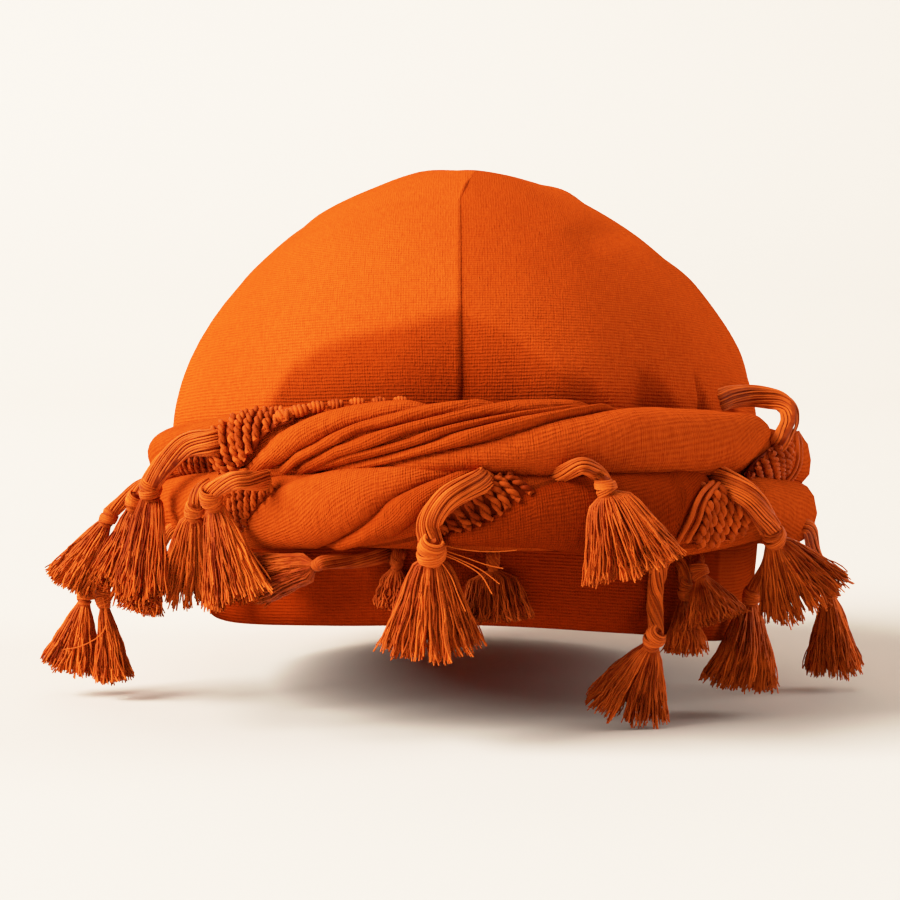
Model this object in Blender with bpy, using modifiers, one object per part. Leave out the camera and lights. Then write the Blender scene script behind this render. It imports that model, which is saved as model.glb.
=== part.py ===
"""Turban hat: a two-panel cloth cap with a scarf wound round it as two twisted rolls.

Metres, +Z up. The origin is the middle of the head opening, at rim level, and the front of the
hat faces -Y. Left and right are as seen from the front. The cap and its rolls are drawn upright
and pitched back together; the tassels hang plumb. Angles round the head are in degrees from the
front, positive towards +X. Tables are in millimetres and degrees, and MM turns them to metres.
"""

from math import cos, hypot, pi, radians, sin

import bmesh
import bpy
from mathutils import Vector
from mathutils.bvhtree import BVHTree

MM = 0.001

# Driving dimensions of the whole hat
HAT_PITCH = 6.5
CLOTH = 1.6 * MM
GAP = 0.3 * MM

# Cap: half sizes at the rim and at the widest level, and the dome above that level
RIM_HALF_WIDTH = 82.3 * MM
RIM_HALF_DEPTH = 97.0 * MM
CROWN_HALF_WIDTH = 89.7 * MM
CROWN_HALF_DEPTH = 106.0 * MM
CROWN_LEVEL = 60.0 * MM
DOME_HEIGHT = 80.2 * MM
DOME_POWER = 1.72
RIM_SHIFT = 4.3 * MM
SEAM_GAP = 0.5 * MM
PLEAT_LIFT = 0.9 * MM
PLEAT_WIDTH = 5.0
PLEAT_EASE = 10.0 * MM
PLEAT_FADE = 22.0 * MM
DENT_FLOOR = 50.0 * MM
DENT_EASE = 8.0 * MM
CAP_COLUMNS = 20
RIM_ROWS = 3
DOME_ROWS = 10

# Soft valleys and ridges of the crown above the rolls, each a line with a rounded section
CROWN_DENTS = (
    # from angle, height, to angle, height, half width mm, depth mm (below 0 is a ridge)
    (-78, 62, -70, 100, 11, 1.6),
    (-88, 88, -84, 104, 16, 1.3),
    (-60, 118, -8, 126, 9, 0.9),
    (-95, 126, -100, 138, 17, -2.2),
    (72, 62, 64, 104, 11, 1.2),
    (92, 86, 90, 104, 20, -2.1),
    (92, 133, 100, 134, 12, -1.9),
    (34, 112, 58, 118, 9, 0.9),
    (132, 62, 146, 96, 13, 1.8),
    (-128, 62, -140, 98, 13, 1.8),
    (168, 62, 160, 90, 9, 1.4),
)

# Creases of the crown: the cloth turns inward below each line
CROWN_CREASES = (
    # drop in mm for each mm below the line, then (angle, height) along the line
    (0.27, ((-48, 46), (-41, 58), (-38, 66), (-34, 76), (-28, 82), (-20, 85.5), (-13, 87), (0, 92),
            (9, 85), (17, 75), (23, 73), (28, 64), (32, 46))),
    (0.26, ((26, 46), (33, 77), (38, 75), (42, 65), (46, 46))),
    (0.22, ((44, 46), (48, 76), (50, 68), (54, 46))),
)
CREASE_ROUNDING = 1.2

# How far the rim is out of level, round the head
RIM_LEVELS = (
    # angle, height
    (-180, 0.0), (-150, 1.0), (-120, 3.0), (-90, 4.3), (-60, 2.1), (-30, 2.3),
    (0, 2.8), (30, 0.1), (60, -2.9), (90, 3.4), (120, 1.0), (150, 0.0),
)

# Heights above the rim and reach beyond the cap of the two rolls, round the head
ROLL_LEVELS = (
    # angle, upper top, split, lower bottom, upper reach, lower reach
    (-180, 61.0, 44.0, 25.0, 14.0, 15.0),
    (-90, 57.0, 44.5, 28.5, 6.5, 7.5),
    (0, 62.6, 44.8, 22.2, 15.0, 16.0),
    (90, 59.0, 43.0, 25.0, 13.0, 15.5),
)
ROLL_SEAT = 0.38
ROLL_FULLNESS = 0.82
ROLL_CORE_INSET = 1.0 * MM
ROLL_COLUMNS = 64
ROLL_SIDES = 20
ROLL_TURNS = 4
FOLD_TAPER = 6.0

# Folds of the rolls: round the roll, -90 is its bottom, 0 its outside, 90 its top.
# Each row is name, roll, lift mm, then (angle round the head, lower edge, upper edge).
FOLDS = (
    ("left_shoulder", "upper", 2.4, (
        (-104, -60, 50), (-86, -45, 70), (-62, -18, 84), (-45, 8, 94), (-32, 56, 100), (-22, 80, 104))),
    ("left_under", "upper", 1.0, (
        (-96, -96, -58), (-72, -96, -34), (-56, -96, -20), (-42, -96, -60))),
    ("fold_1", "upper", 2.4, (
        (-39, -96, -70), (-34, -82, -28), (-28, -31, 8), (-20, 18, 50), (-12, 58, 78), (-4, 94, 102))),
    ("fold_2", "upper", 2.2, (
        (-36, -98, -88), (-28, -44, -31), (-20, -6, 18), (-10, 26, 68), (0, 51, 96), (7, 86, 106))),
    ("fold_3", "upper", 2.2, (
        (-35, -98, -90), (-28, -60, -44), (-19, -22, -2), (-9, 0, 29), (0, 24, 51), (8, 46, 92),
        (16, 65, 104), (23, 94, 110))),
    ("fold_4", "upper", 1.6, (
        (-32, -98, -76), (-18, -44, -20), (-8, -13, 2), (2, 16, 29), (8, 34, 46), (14, 47, 61),
        (22, 74, 90))),
    ("fold_5", "upper", 2.2, (
        (-26, -98, -70), (-18, -63, -44), (-8, -31, -13), (2, -6, 16), (8, 9, 34), (14, 32, 47),
        (18, 46, 60), (26, 80, 96))),
    ("thin_strand", "upper", 1.2, (
        (-26, -99, -80), (-18, -92, -64), (-12, -92, -58), (-6, -92, -68), (2, -99, -88))),
    ("broad_front", "upper", 3.0, (
        (-16, -60, -56), (-10, -60, -38), (-6, -70, -26), (0, -84, -11), (8, -95, 9), (18, -97, 46),
        (25, -97, 79), (32, -97, 96), (38, -90, 100), (44, -67, 104), (50, -19, 106), (55, 9, 108),
        (61, 46, 110))),
    ("right_shoulder", "upper", 2.6, (
        (52, 10, 40), (60, 12, 76), (66, -8, 86), (74, -40, 95), (82, -75, 100), (94, -96, 96),
        (108, -97, 70), (122, -97, 0))),
    ("left_strand", "lower", 2.6, (
        (-92, -96, 6), (-78, -92, 40), (-66, -92, 62), (-57, -88, 74), (-50, -60, 82), (-44, -5, 88),
        (-36, 46, 94), (-26, 74, 98))),
    ("broad_left", "lower", 3.0, (
        (-46, -94, -76), (-42, -94, -40), (-39, -96, -15), (-34, -96, 12), (-27, -90, 50),
        (-21, -47, 72), (-14, -2, 86), (-6, 39, 92), (2, 68, 96))),
    ("fold_6", "lower", 2.4, (
        (-27, -98, -84), (-22, -74, -50), (-18, -60, -28), (-12, -39, 12), (-8, -9, 30), (-4, 17, 48),
        (0, 43, 72), (5, 58, 94), (10, 62, 100), (18, 84, 104))),
    ("broad_right", "lower", 3.0, (
        (-9, -46, -36), (-5, -48, -31), (1, -52, -9), (9, -62, 28), (14, -78, 50), (20, -92, 68),
        (26, -95, 84), (30, -78, 90), (32, -20, 94), (36, 22, 98), (42, 62, 102))),
    ("hem_right", "lower", 2.4, (
        (27, -92, -60), (31, -54, -20), (34, -14, 14), (38, 24, 40), (43, 52, 66))),
    ("strip_right", "lower", 2.4, (
        (30, -96, -76), (36, -84, -54), (42, -66, -34), (48, -54, -14), (56, -44, 6))),
    ("far_right", "lower", 2.6, (
        (46, -6, 78), (54, -40, 86), (60, -62, 92), (70, -85, 96), (82, -96, 96), (94, -96, 60),
        (108, -96, 8))),
)

# The rest of each roll carries like folds at an even step, right round the back
BACK_FOLDS = (
    # roll, first angle, last angle, step, climb span, lift mm
    ("upper", 92, 246, 14, 44, 2.4),
    ("lower", 84, 236, 16, 38, 2.6),
)
FOLD_BOTTOM = -96
FOLD_CLIMB = 200
FOLD_WANDER = 2.5
FOLD_OVERLAP = 1.15
FOLD_VARIETY = 0.25
FOLD_LEAST = 0.85
FOLD_MORE = 0.2
FOLD_PLUMPNESS = 0.55

# Pieces of the knotted border that show between the folds, each a curved sheet with four corners
BORDER_PATCHES = (
    # roll, then angle and turn of the corners: upper left, upper right, lower right, lower left
    ("upper", (-46, 22), (-35, 64), (-35, -14), (-44, -40)),
    ("upper", (48, -10), (66, 16), (71, -26), (53, -50)),
    ("lower", (-40, 6), (-32, 28), (-33, 6), (-40, -20)),
    ("lower", (0, 42), (10, 44), (8, 12), (-3, -20)),
    ("lower", (37, 20), (44, 24), (45, -26), (34, -36)),
)
PATCH_CELLS = 5
PATCH_THICKNESS = 1.6 * MM
PATCH_CLEARANCE = 0.7 * MM
PATCH_FEELERS = ((0, 0), (2, 0), (-2, 0), (0, 9), (0, -9))
RAY_START = 40 * MM

# Loop of fringe threads at the upper right, from behind the upper roll and back into it
LOOP_POINTS = (
    (71, -53, 72), (76, -50, 73.2), (81.6, -46, 73.4), (86.6, -45, 72.8), (90.7, -46, 71.8),
    (92.9, -49, 69.6), (92.8, -52, 66.5), (91, -55, 63.4), (88.8, -57, 60.2),
)
LOOP_RADIUS = 2.6 * MM
LOOP_STEP = 0.1 * MM

# Tassels in the order that they lie on each other. Across and up are measured in the front view;
# each tassel comes to rest against what is behind it, between its foremost and rearmost depth.
TASSELS = (
    # half width, foremost, rearmost, cord points (across, up), knot, middle of the hem
    (6.0, -62, -44, ((-85.4, 34.5),), (-90, 27), (-95, 9)),
    (6.5, -200, -60, ((-22, 33), (-31, 31.5)), (-40, 31), (-60, 24)),
    (5.0, -200, -90, ((-18, 34),), (-19, 30.5), (-20, 18)),
    (9.0, -200, -90, ((7, 34),), (7, 30.5), (8, 15)),
    (6.0, -200, -60, ((60, 29),), (61, 21), (61, 2)),
    (9.0, -200, -56, ((64, 30),), (64.5, 26.5), (69, 12)),
    (9.0, -70, -14, ((99.6, 35), (104.5, 25)), (110, 13), (112, -15)),
    (11.0, -200, -50, ((86.6, 37), (86, 26)), (82.5, 16), (78, -12)),
    (11.5, -200, -74, ((53, 36), (52, 22)), (51.5, 9), (44, -15)),
    (8.0, -200, -60, ((-73, 49),), (-75.8, 43), (-79, 15)),
    (9.0, -200, -66, ((-51, 54.5), (-61, 54.3), (-66.5, 52)), (-69.5, 48), (-61.5, 18)),
    (9.5, -70, -24, ((-92.6, 38), (-102, 27)), (-111, 12.5), (-118.5, -12)),
    (6.0, -70, -32, ((-91.2, 39.5), (-100, 28)), (-107.5, 13), (-104, -14)),
    (7.5, -200, -34, ((-95, 46),), (-105, 37), (-118, 15)),
    (6.0, -200, -36, ((-87, 51), (-93, 47)), (-97, 42), (-104, 17.5)),
    (6.2, -200, -40, ((-70.5, 62.5), (-78, 61), (-85, 55)), (-90, 47), (-90.7, 16)),
    (13.0, -200, -104, ((4, 55), (-5, 51), (-10, 44)), (-9.5, 36), (-9.3, 7)),
    (12.5, -200, -100, ((24, 56), (30, 59), (34, 57)), (36.5, 53), (45, 29)),
    (12.5, -200, -60, ((69, 53), (77, 48.5), (82, 42)), (85.5, 36), (97, 15)),
)
CORD_RADIUS = 1.7 * MM
CORD_END_RADIUS = 0.6 * MM
KNOT_RADIUS = 3.1 * MM
NECK_RADIUS = 2.1 * MM
KNOT_LENGTH = 4.6 * MM
KNOT_ABOVE = 0.4
KNOT_BELOW = 0.75
KNOT_TOP_SHARE = 0.8
SKIRT_FLATNESS = 0.55
SKIRT_LEAN = 0.3
CORD_SLOPE = 0.9
TASSEL_SIDES = 10
LOCK_DEPTH = 0.09
CORD_CLEARANCE = 0.35 * MM
REST_ERROR = 0.05 * MM
REST_STEPS = 200
FEEL_SHARES = (-0.7, 0.0, 0.7)
SKIRT_CLEARANCE = 0.7 * MM
# Rings of the skirt: share of its length, share of its full width
SKIRT_RINGS = ((0.12, 0.34), (0.45, 0.74), (1.0, 1.0))


def smooth(t):
    """Ease from 0 to 1."""
    t = min(1.0, max(0.0, t))
    return t * t * (3 - 2 * t)


def fuller(share):
    """Share of a sine or cosine, raised so that a roll's section is plumper than an ellipse."""
    return abs(share) ** ROLL_FULLNESS * (1 if share > 0 else -1)


def round_table(table, angle, column):
    """Value of a column at an angle, on a smooth closed curve through evenly spaced rows."""
    count = len(table)
    place = ((angle - table[0][0]) * count / 360.0) % count
    row = int(place)
    t = place - row
    before, here, after, beyond = (table[(row + k) % count][column] for k in (-1, 0, 1, 2))
    slope_here = (after - before) / 2
    slope_after = (beyond - here) / 2
    return ((2 * t**3 - 3 * t**2 + 1) * here + (t**3 - 2 * t**2 + t) * slope_here
            + (3 * t**2 - 2 * t**3) * after + (t**3 - t**2) * slope_after)


def edge_at(rows, angle, column):
    """Value of a column at an angle, on straight lines between the rows."""
    for here, after in zip(rows, rows[1:]):
        if angle <= after[0]:
            t = (angle - here[0]) / (after[0] - here[0])
            return here[column] + (after[column] - here[column]) * t
    return rows[-1][column]


def cap_sizes(height):
    """Half width, half depth and sideways shift of the cap at a height above the rim."""
    if height <= CROWN_LEVEL:
        rise = max(0.0, height / CROWN_LEVEL)
        ease = 1 - (1 - rise) ** 2
        return (RIM_HALF_WIDTH + (CROWN_HALF_WIDTH - RIM_HALF_WIDTH) * ease,
                RIM_HALF_DEPTH + (CROWN_HALF_DEPTH - RIM_HALF_DEPTH) * ease,
                RIM_SHIFT * (1 - rise))
    climb = min(1.0, (height - CROWN_LEVEL) / DOME_HEIGHT)
    scale = (1 - climb**DOME_POWER) ** (1 / DOME_POWER)
    return CROWN_HALF_WIDTH * scale, CROWN_HALF_DEPTH * scale, 0.0


def cap_point(angle, height, out=0.0):
    """Point of the plain cap, or one that stands out from it level."""
    half_width, half_depth, shift = cap_sizes(height)
    side, front = sin(radians(angle)), cos(radians(angle))
    normal = Vector((half_depth * side, -half_width * front, 0.0))
    if normal.length > 0:
        normal.normalize()
    return Vector((shift + half_width * side, -half_depth * front, height)) + normal * out


def crease_drop(angle, height):
    """How far a place lies inward because it is below a crease line."""
    deepest = 0.0
    for slope, line in CROWN_CREASES:
        if not line[0][0] < angle < line[-1][0]:
            continue
        below = edge_at(line, angle, 1) - height / MM
        if below > 0:
            deepest = max(deepest, slope * (hypot(below, CREASE_ROUNDING) - CREASE_ROUNDING))
    return deepest * MM


def dent_depth(angle, height):
    """How far the crown's valleys and ridges move the cloth inward at a place."""
    here = cap_point(angle, height)
    depth = 0.0
    for from_angle, from_height, to_angle, to_height, half_width, deep in CROWN_DENTS:
        start = cap_point(from_angle, from_height * MM)
        along = cap_point(to_angle, to_height * MM) - start
        share = min(1.0, max(0.0, (here - start).dot(along) / along.length_squared))
        away = (here - start - along * share).length / (half_width * MM)
        depth += deep * MM * smooth(1 - away)
    depth += crease_drop(angle, height)
    return depth * smooth((height - DENT_FLOOR) / DENT_EASE)


def panel_point(angle, height, pleat):
    """Point of the cap's outer cloth with its dents, its seam edge raised by a pleat, and its rim."""
    point = cap_point(angle, height)
    centre = Vector((0.0, 0.0, min(height, CROWN_LEVEL)))
    outward = (point - centre).normalized()
    lift = -dent_depth(angle, height)
    beside_seam = smooth(1 - abs(angle) / PLEAT_WIDTH)
    below_pole = CROWN_LEVEL + DOME_HEIGHT - height
    lift += pleat * beside_seam * smooth((height - CROWN_LEVEL) / PLEAT_EASE) * smooth(below_pole / PLEAT_FADE)
    point += outward * lift
    point.z += smooth(1 - height / CROWN_LEVEL) * round_table(RIM_LEVELS, angle, 1) * MM
    return point


def roll_limits(roll, angle):
    """Lowest and highest level and outward reach of a roll at an angle round the head."""
    top, split, bottom = (round_table(ROLL_LEVELS, angle, column) * MM for column in (1, 2, 3))
    if roll == "upper":
        return split + GAP / 2, top, round_table(ROLL_LEVELS, angle, 4) * MM
    return bottom, split - GAP / 2, round_table(ROLL_LEVELS, angle, 5) * MM


def back_folds():
    """Rows of the folds that carry on round the back, in the form of FOLDS."""
    rows = []
    for roll, first, last, step, span, lift in BACK_FOLDS:
        count = int((last - first) / step) + 1
        for number in range(count):
            start = first + step * number + FOLD_WANDER * sin(2.3 * number)
            width = step * (FOLD_OVERLAP + FOLD_VARIETY * sin(1.7 * number + 1))
            edges = []
            for part in range(6):
                angle = start + (span + width) * part / 5
                high = FOLD_BOTTOM + FOLD_CLIMB * smooth((angle - start) / span)
                low = FOLD_BOTTOM + FOLD_CLIMB * smooth((angle - start - width) / span)
                edges.append((angle, low, high))
            height = lift * (FOLD_LEAST + FOLD_MORE * sin(3.1 * number))
            rows.append(("%s_back_%d" % (roll, number), roll, height, edges))
    return rows


ALL_FOLDS = list(FOLDS) + back_folds()


def fold_lift(roll, angle, turn):
    """Height that the folds add to the roll's core at an angle and a place round the section."""
    turn = (turn + 180) % 360 - 180
    best = 0.0
    for _, fold_roll, lift, rows in ALL_FOLDS:
        if fold_roll != roll:
            continue
        for around in (angle, angle - 360, angle + 360):
            if not rows[0][0] < around < rows[-1][0]:
                continue
            low = edge_at(rows, around, 1)
            high = edge_at(rows, around, 2)
            if not low < turn < high:
                continue
            across = (2 * turn - low - high) / (high - low)
            ends = smooth((around - rows[0][0]) / FOLD_TAPER) * smooth((rows[-1][0] - around) / FOLD_TAPER)
            best = max(best, lift * MM * ends * (1 - across**2) ** FOLD_PLUMPNESS)
    return best


def roll_point(roll, angle, turn):
    """Point of a roll: turn -90 is its bottom, 0 its outside, 90 its top, 180 against the cap."""
    low, high, reach = roll_limits(roll, angle)
    reach -= ROLL_CORE_INSET
    if roll == "upper":
        high -= ROLL_CORE_INSET
    else:
        low += ROLL_CORE_INSET
    up, away = fuller(sin(radians(turn))), fuller(cos(radians(turn)))
    normal_out = (high - low) / 2 * away
    normal_up = reach * (1 - ROLL_SEAT) * up
    size = hypot(normal_out, normal_up)
    lift = fold_lift(roll, angle, turn)
    out = reach * (ROLL_SEAT + (1 - ROLL_SEAT) * away) + lift * normal_out / size
    level = (low + high) / 2 + (high - low) / 2 * up + lift * normal_up / size
    level = max(level, low) if roll == "upper" else min(level, high)
    return cap_point(angle, level, max(out, GAP))


def grid_faces(columns, rows, closed):
    """Corner numbers of a grid's faces, stored column by column; closed joins last to first."""
    faces = []
    for column in range(columns if closed else columns - 1):
        after = (column + 1) % columns
        for row in range(rows - 1):
            faces.append((column * rows + row, after * rows + row,
                          after * rows + row + 1, column * rows + row + 1))
    return faces


def add_mesh(name, points, faces, collection):
    """New object of its own from points and faces, smooth shaded."""
    mesh = bpy.data.meshes.new(name)
    mesh.from_pydata([tuple(point) for point in points], [], faces)
    mesh.validate()
    mesh.shade_smooth()
    thing = bpy.data.objects.new(name, mesh)
    collection.objects.link(thing)
    return thing


def outward(thing):
    """Turn a closed body's faces to point out."""
    body = bmesh.new()
    body.from_mesh(thing.data)
    bmesh.ops.recalc_face_normals(body, faces=body.faces)
    body.to_mesh(thing.data)
    body.free()


def cloth_material(name, colour, roughness):
    """Plain matt cloth."""
    material = bpy.data.materials.new(name)
    material.use_nodes = True
    shader = material.node_tree.nodes["Principled BSDF"]
    shader.inputs["Base Color"].default_value = (*colour, 1.0)
    shader.inputs["Roughness"].default_value = roughness
    shader.inputs["Metallic"].default_value = 0.0
    return material


def panel_heights():
    """Levels of a crown panel's rows, from the rim up to just under the pole."""
    levels = [CROWN_LEVEL * row / RIM_ROWS for row in range(RIM_ROWS + 1)]
    for row in range(1, DOME_ROWS):
        levels.append(CROWN_LEVEL + DOME_HEIGHT * sin(pi / 2 * row / DOME_ROWS))
    return levels


def build_panel(name, side, collection, material, frame):
    """One half of the cap, an open sheet thickened inward."""
    levels = panel_heights()
    points = []
    for column in range(CAP_COLUMNS + 1):
        angle = side * 180.0 * column / CAP_COLUMNS
        for level in levels:
            point = panel_point(angle, level, PLEAT_LIFT if side < 0 else 0.0)
            seam = cap_sizes(level)[2]
            point.x = seam + side * max(side * (point.x - seam), SEAM_GAP / 2)
            points.append(point)
    faces = grid_faces(CAP_COLUMNS + 1, len(levels), False)
    pole = len(points)
    points.append(Vector((side * SEAM_GAP / 2, 0.0, CROWN_LEVEL + DOME_HEIGHT)))
    top = len(levels) - 1
    for column in range(CAP_COLUMNS):
        faces.append((column * len(levels) + top, (column + 1) * len(levels) + top, pole))
    if side < 0:
        faces = [tuple(reversed(face)) for face in faces]
    panel = add_mesh(name, points, faces, collection)
    shell = panel.modifiers.new("thickness", "SOLIDIFY")
    shell.thickness = CLOTH
    shell.offset = -1.0
    panel.data.materials.append(material)
    panel.parent = frame
    return panel


def build_roll(name, roll, collection, material, frame):
    """One twisted roll, a closed ring whose mesh lines climb with its folds."""
    points = []
    for column in range(ROLL_COLUMNS):
        angle = -180.0 + 360.0 * column / ROLL_COLUMNS
        for side in range(ROLL_SIDES):
            turn = 360.0 * side / ROLL_SIDES + ROLL_TURNS * (angle + 180.0)
            points.append(roll_point(roll, angle, turn))
    faces = []
    for column in range(ROLL_COLUMNS):
        after = (column + 1) % ROLL_COLUMNS
        for side in range(ROLL_SIDES):
            beside = (side + 1) % ROLL_SIDES
            faces.append((column * ROLL_SIDES + side, after * ROLL_SIDES + side,
                          after * ROLL_SIDES + beside, column * ROLL_SIDES + beside))
    ring = add_mesh(name, points, faces, collection)
    outward(ring)
    ring.data.materials.append(material)
    ring.parent = frame
    return ring


def world_tree(thing):
    """Search tree of a finished piece, in the world's frame."""
    bpy.context.view_layer.update()
    graph = bpy.context.evaluated_depsgraph_get()
    shape = thing.evaluated_get(graph)
    mesh = shape.to_mesh()
    points = [thing.matrix_world @ vertex.co for vertex in mesh.vertices]
    tree = BVHTree.FromPolygons(points, [tuple(face.vertices) for face in mesh.polygons])
    shape.to_mesh_clear()
    return tree


def clearance(point, trees):
    """Distance from a point to the nearest of the finished pieces."""
    return min(tree.find_nearest(point)[3] for tree in trees)


def ball_rest(across, up, radius, foremost, rearmost, trees):
    """Depth at which a ball pushed back from the front comes to rest, or its rearmost depth."""
    depth = foremost
    for _ in range(REST_STEPS):
        room = clearance(Vector((across, depth, up)), trees) - radius
        if room < REST_ERROR or depth >= rearmost:
            break
        depth = min(rearmost, depth + room)
    return depth


def ring_rest(place, sideways, wide, deep, room, limits, trees):
    """Depth at which a flat ring comes to rest, felt at its middle and towards both sides."""
    depths = []
    for share in FEEL_SHARES:
        spot = place + sideways * wide * share
        thick = deep * (1 - share**2) ** 0.5
        depths.append(ball_rest(spot.x, spot.y, thick + room, *limits, trees))
    return min(depths)


def build_patch(name, roll, corners, collection, material, frame, ring):
    """A curved sheet of knotted border laid on a roll between its folds."""
    tree = world_tree(ring)
    to_world = frame.matrix_world
    from_world = to_world.inverted()
    upper_left, upper_right, lower_right, lower_left = corners
    points = []
    for column in range(PATCH_CELLS + 1):
        across = column / PATCH_CELLS
        for row in range(PATCH_CELLS + 1):
            rise = row / PATCH_CELLS
            low = [lower_left[k] + (lower_right[k] - lower_left[k]) * across for k in (0, 1)]
            high = [upper_left[k] + (upper_right[k] - upper_left[k]) * across for k in (0, 1)]
            angle, turn = (low[k] + (high[k] - low[k]) * rise for k in (0, 1))
            bottom, top, reach = roll_limits(roll, angle)
            core = to_world @ cap_point(angle, (bottom + top) / 2, reach * ROLL_SEAT)
            away = (to_world @ roll_point(roll, angle, turn) - core).normalized()
            reach = 0.0
            for nearby in PATCH_FEELERS:
                skin = to_world @ roll_point(roll, angle + nearby[0], turn + nearby[1])
                ray = (skin - core).normalized()
                hit = tree.ray_cast(core + ray * RAY_START, -ray)[0]
                reach = max(reach, (hit - core).dot(away))
            points.append(from_world @ (core + away * (reach + PATCH_CLEARANCE + PATCH_THICKNESS)))
    faces = grid_faces(PATCH_CELLS + 1, PATCH_CELLS + 1, False)
    patch = add_mesh(name, points, faces, collection)
    shell = patch.modifiers.new("thickness", "SOLIDIFY")
    shell.thickness = PATCH_THICKNESS
    shell.offset = -1.0
    patch.data.materials.append(material)
    patch.parent = frame
    return patch


def build_loop(name, collection, material, trees):
    """The loop of threads, a tube pushed clear of the crown and the roll beside it."""
    curve = bpy.data.curves.new(name, "CURVE")
    curve.dimensions = "3D"
    spline = curve.splines.new("POLY")
    spline.points.add(len(LOOP_POINTS) - 1)
    for slot, place in zip(spline.points, LOOP_POINTS):
        point = Vector(place) * MM
        away = Vector((point.x, point.y, 0.0)).normalized()
        while clearance(point, trees) < LOOP_RADIUS + GAP:
            point += away * LOOP_STEP
        slot.co = (*point, 1.0)
    curve.bevel_depth = LOOP_RADIUS
    curve.bevel_resolution = 2
    curve.use_fill_caps = True
    loop = bpy.data.objects.new(name, curve)
    loop.data.materials.append(material)
    collection.objects.link(loop)
    return loop


def tassel_rings(half_width, foremost, rearmost, cord, knot, hem, trees):
    """Rings of a tassel from cord to hem: centre, half width, half depth and lock depth."""
    knot_at = Vector(knot) * MM
    hem_at = Vector(hem) * MM
    down = (hem_at - knot_at).normalized()
    neck = knot_at + down * KNOT_LENGTH * KNOT_BELOW
    flat = [(Vector(cord[0]) * MM, CORD_END_RADIUS, CORD_END_RADIUS, 0.0)]
    flat += [(Vector(place) * MM, CORD_RADIUS, CORD_RADIUS, 0.0) for place in cord[1:]]
    top_radius = KNOT_RADIUS * KNOT_TOP_SHARE
    flat.append((knot_at - down * KNOT_LENGTH * KNOT_ABOVE, top_radius, top_radius, 0.0))
    flat.append((knot_at, KNOT_RADIUS, KNOT_RADIUS, 0.0))
    flat.append((neck, NECK_RADIUS, NECK_RADIUS, 0.0))
    for along, wide in SKIRT_RINGS:
        size = NECK_RADIUS + (half_width * MM - NECK_RADIUS) * wide
        deep = max(NECK_RADIUS, size * SKIRT_FLATNESS)
        flat.append((neck + (hem_at - neck) * along, size, deep, LOCK_DEPTH))
    sideways = Vector((-down.y, down.x))
    limits = (foremost * MM, rearmost * MM)
    depths = []
    for place, wide, deep, lock in flat:
        room = SKIRT_CLEARANCE if lock else CORD_CLEARANCE
        depth = ring_rest(place, sideways, wide, deep, room, limits, trees)
        if lock:
            fall = (place - flat[len(depths) - 1][0]).length
            depth = min(depth, depths[-1] + SKIRT_LEAN * fall)
        depths.append(depth)
    for number in range(len(flat) - 1):
        clear_between(flat, depths, number, sideways, limits, trees)
    ease_depths(flat, depths)
    return [(Vector((place.x, depth, place.y)), wide, deep, lock)
            for depth, (place, wide, deep, lock) in zip(depths, flat)]


def ease_depths(flat, depths):
    """Bring deep rings forward so that the tassel's depth changes no faster than it can bend."""
    count = len(flat)
    forward = [(k, k + 1) for k in range(1, count - 1)]
    backward = [(k, k - 1) for k in range(count - 1, 1, -1)]
    for here, beside in forward + backward:
        step = (flat[here][0] - flat[beside][0]).length
        depths[beside] = min(depths[beside], depths[here] + CORD_SLOPE * step)


def clear_between(flat, depths, number, sideways, limits, trees):
    """Bring two neighbouring rings forward until the stretch between them is clear too.

    The first ring stays on its seat, so there only the second one moves.
    """
    here, after = flat[number], flat[number + 1]
    room = SKIRT_CLEARANCE if after[3] else CORD_CLEARANCE
    for share in (0.25, 0.5, 0.75):
        place, wide, deep = (here[k] + (after[k] - here[k]) * share for k in (0, 1, 2))
        depth = ring_rest(place, sideways, wide, deep, room, limits, trees)
        excess = depths[number] + (depths[number + 1] - depths[number]) * share - depth
        if excess > 0 and number == 0:
            depths[1] -= excess / share
        elif excess > 0:
            depths[number] -= excess
            depths[number + 1] -= excess


def build_tassel(name, row, collection, material, trees):
    """One tassel: cord, knot and a skirt of locks, lofted through rings as one body."""
    rings = tassel_rings(*row, trees)
    points = []
    for number, (centre, wide, deep, lock) in enumerate(rings):
        before = rings[max(0, number - 1)][0]
        after = rings[min(len(rings) - 1, number + 1)][0]
        along = (after - before).normalized()
        sideways = along.cross(Vector((0.0, 1.0, 0.0))).normalized()
        thick = along.cross(sideways)
        for side in range(TASSEL_SIDES):
            turn = 2 * pi * side / TASSEL_SIDES
            scale = 1 - lock * (side % 2)
            points.append(centre + (sideways * wide * cos(turn) + thick * deep * sin(turn)) * scale)
    faces = []
    for ring in range(len(rings) - 1):
        for side in range(TASSEL_SIDES):
            beside = (side + 1) % TASSEL_SIDES
            start = ring * TASSEL_SIDES
            faces.append((start + side, start + beside,
                          start + TASSEL_SIDES + beside, start + TASSEL_SIDES + side))
    last = (len(rings) - 1) * TASSEL_SIDES
    for ring_start, end in ((0, rings[0][0]), (last, rings[-1][0])):
        middle = len(points)
        points.append(end)
        for side in range(TASSEL_SIDES):
            faces.append((ring_start + side, ring_start + (side + 1) % TASSEL_SIDES, middle))
    tassel = add_mesh(name, points, faces, collection)
    outward(tassel)
    tassel.data.materials.append(material)
    return tassel


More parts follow.
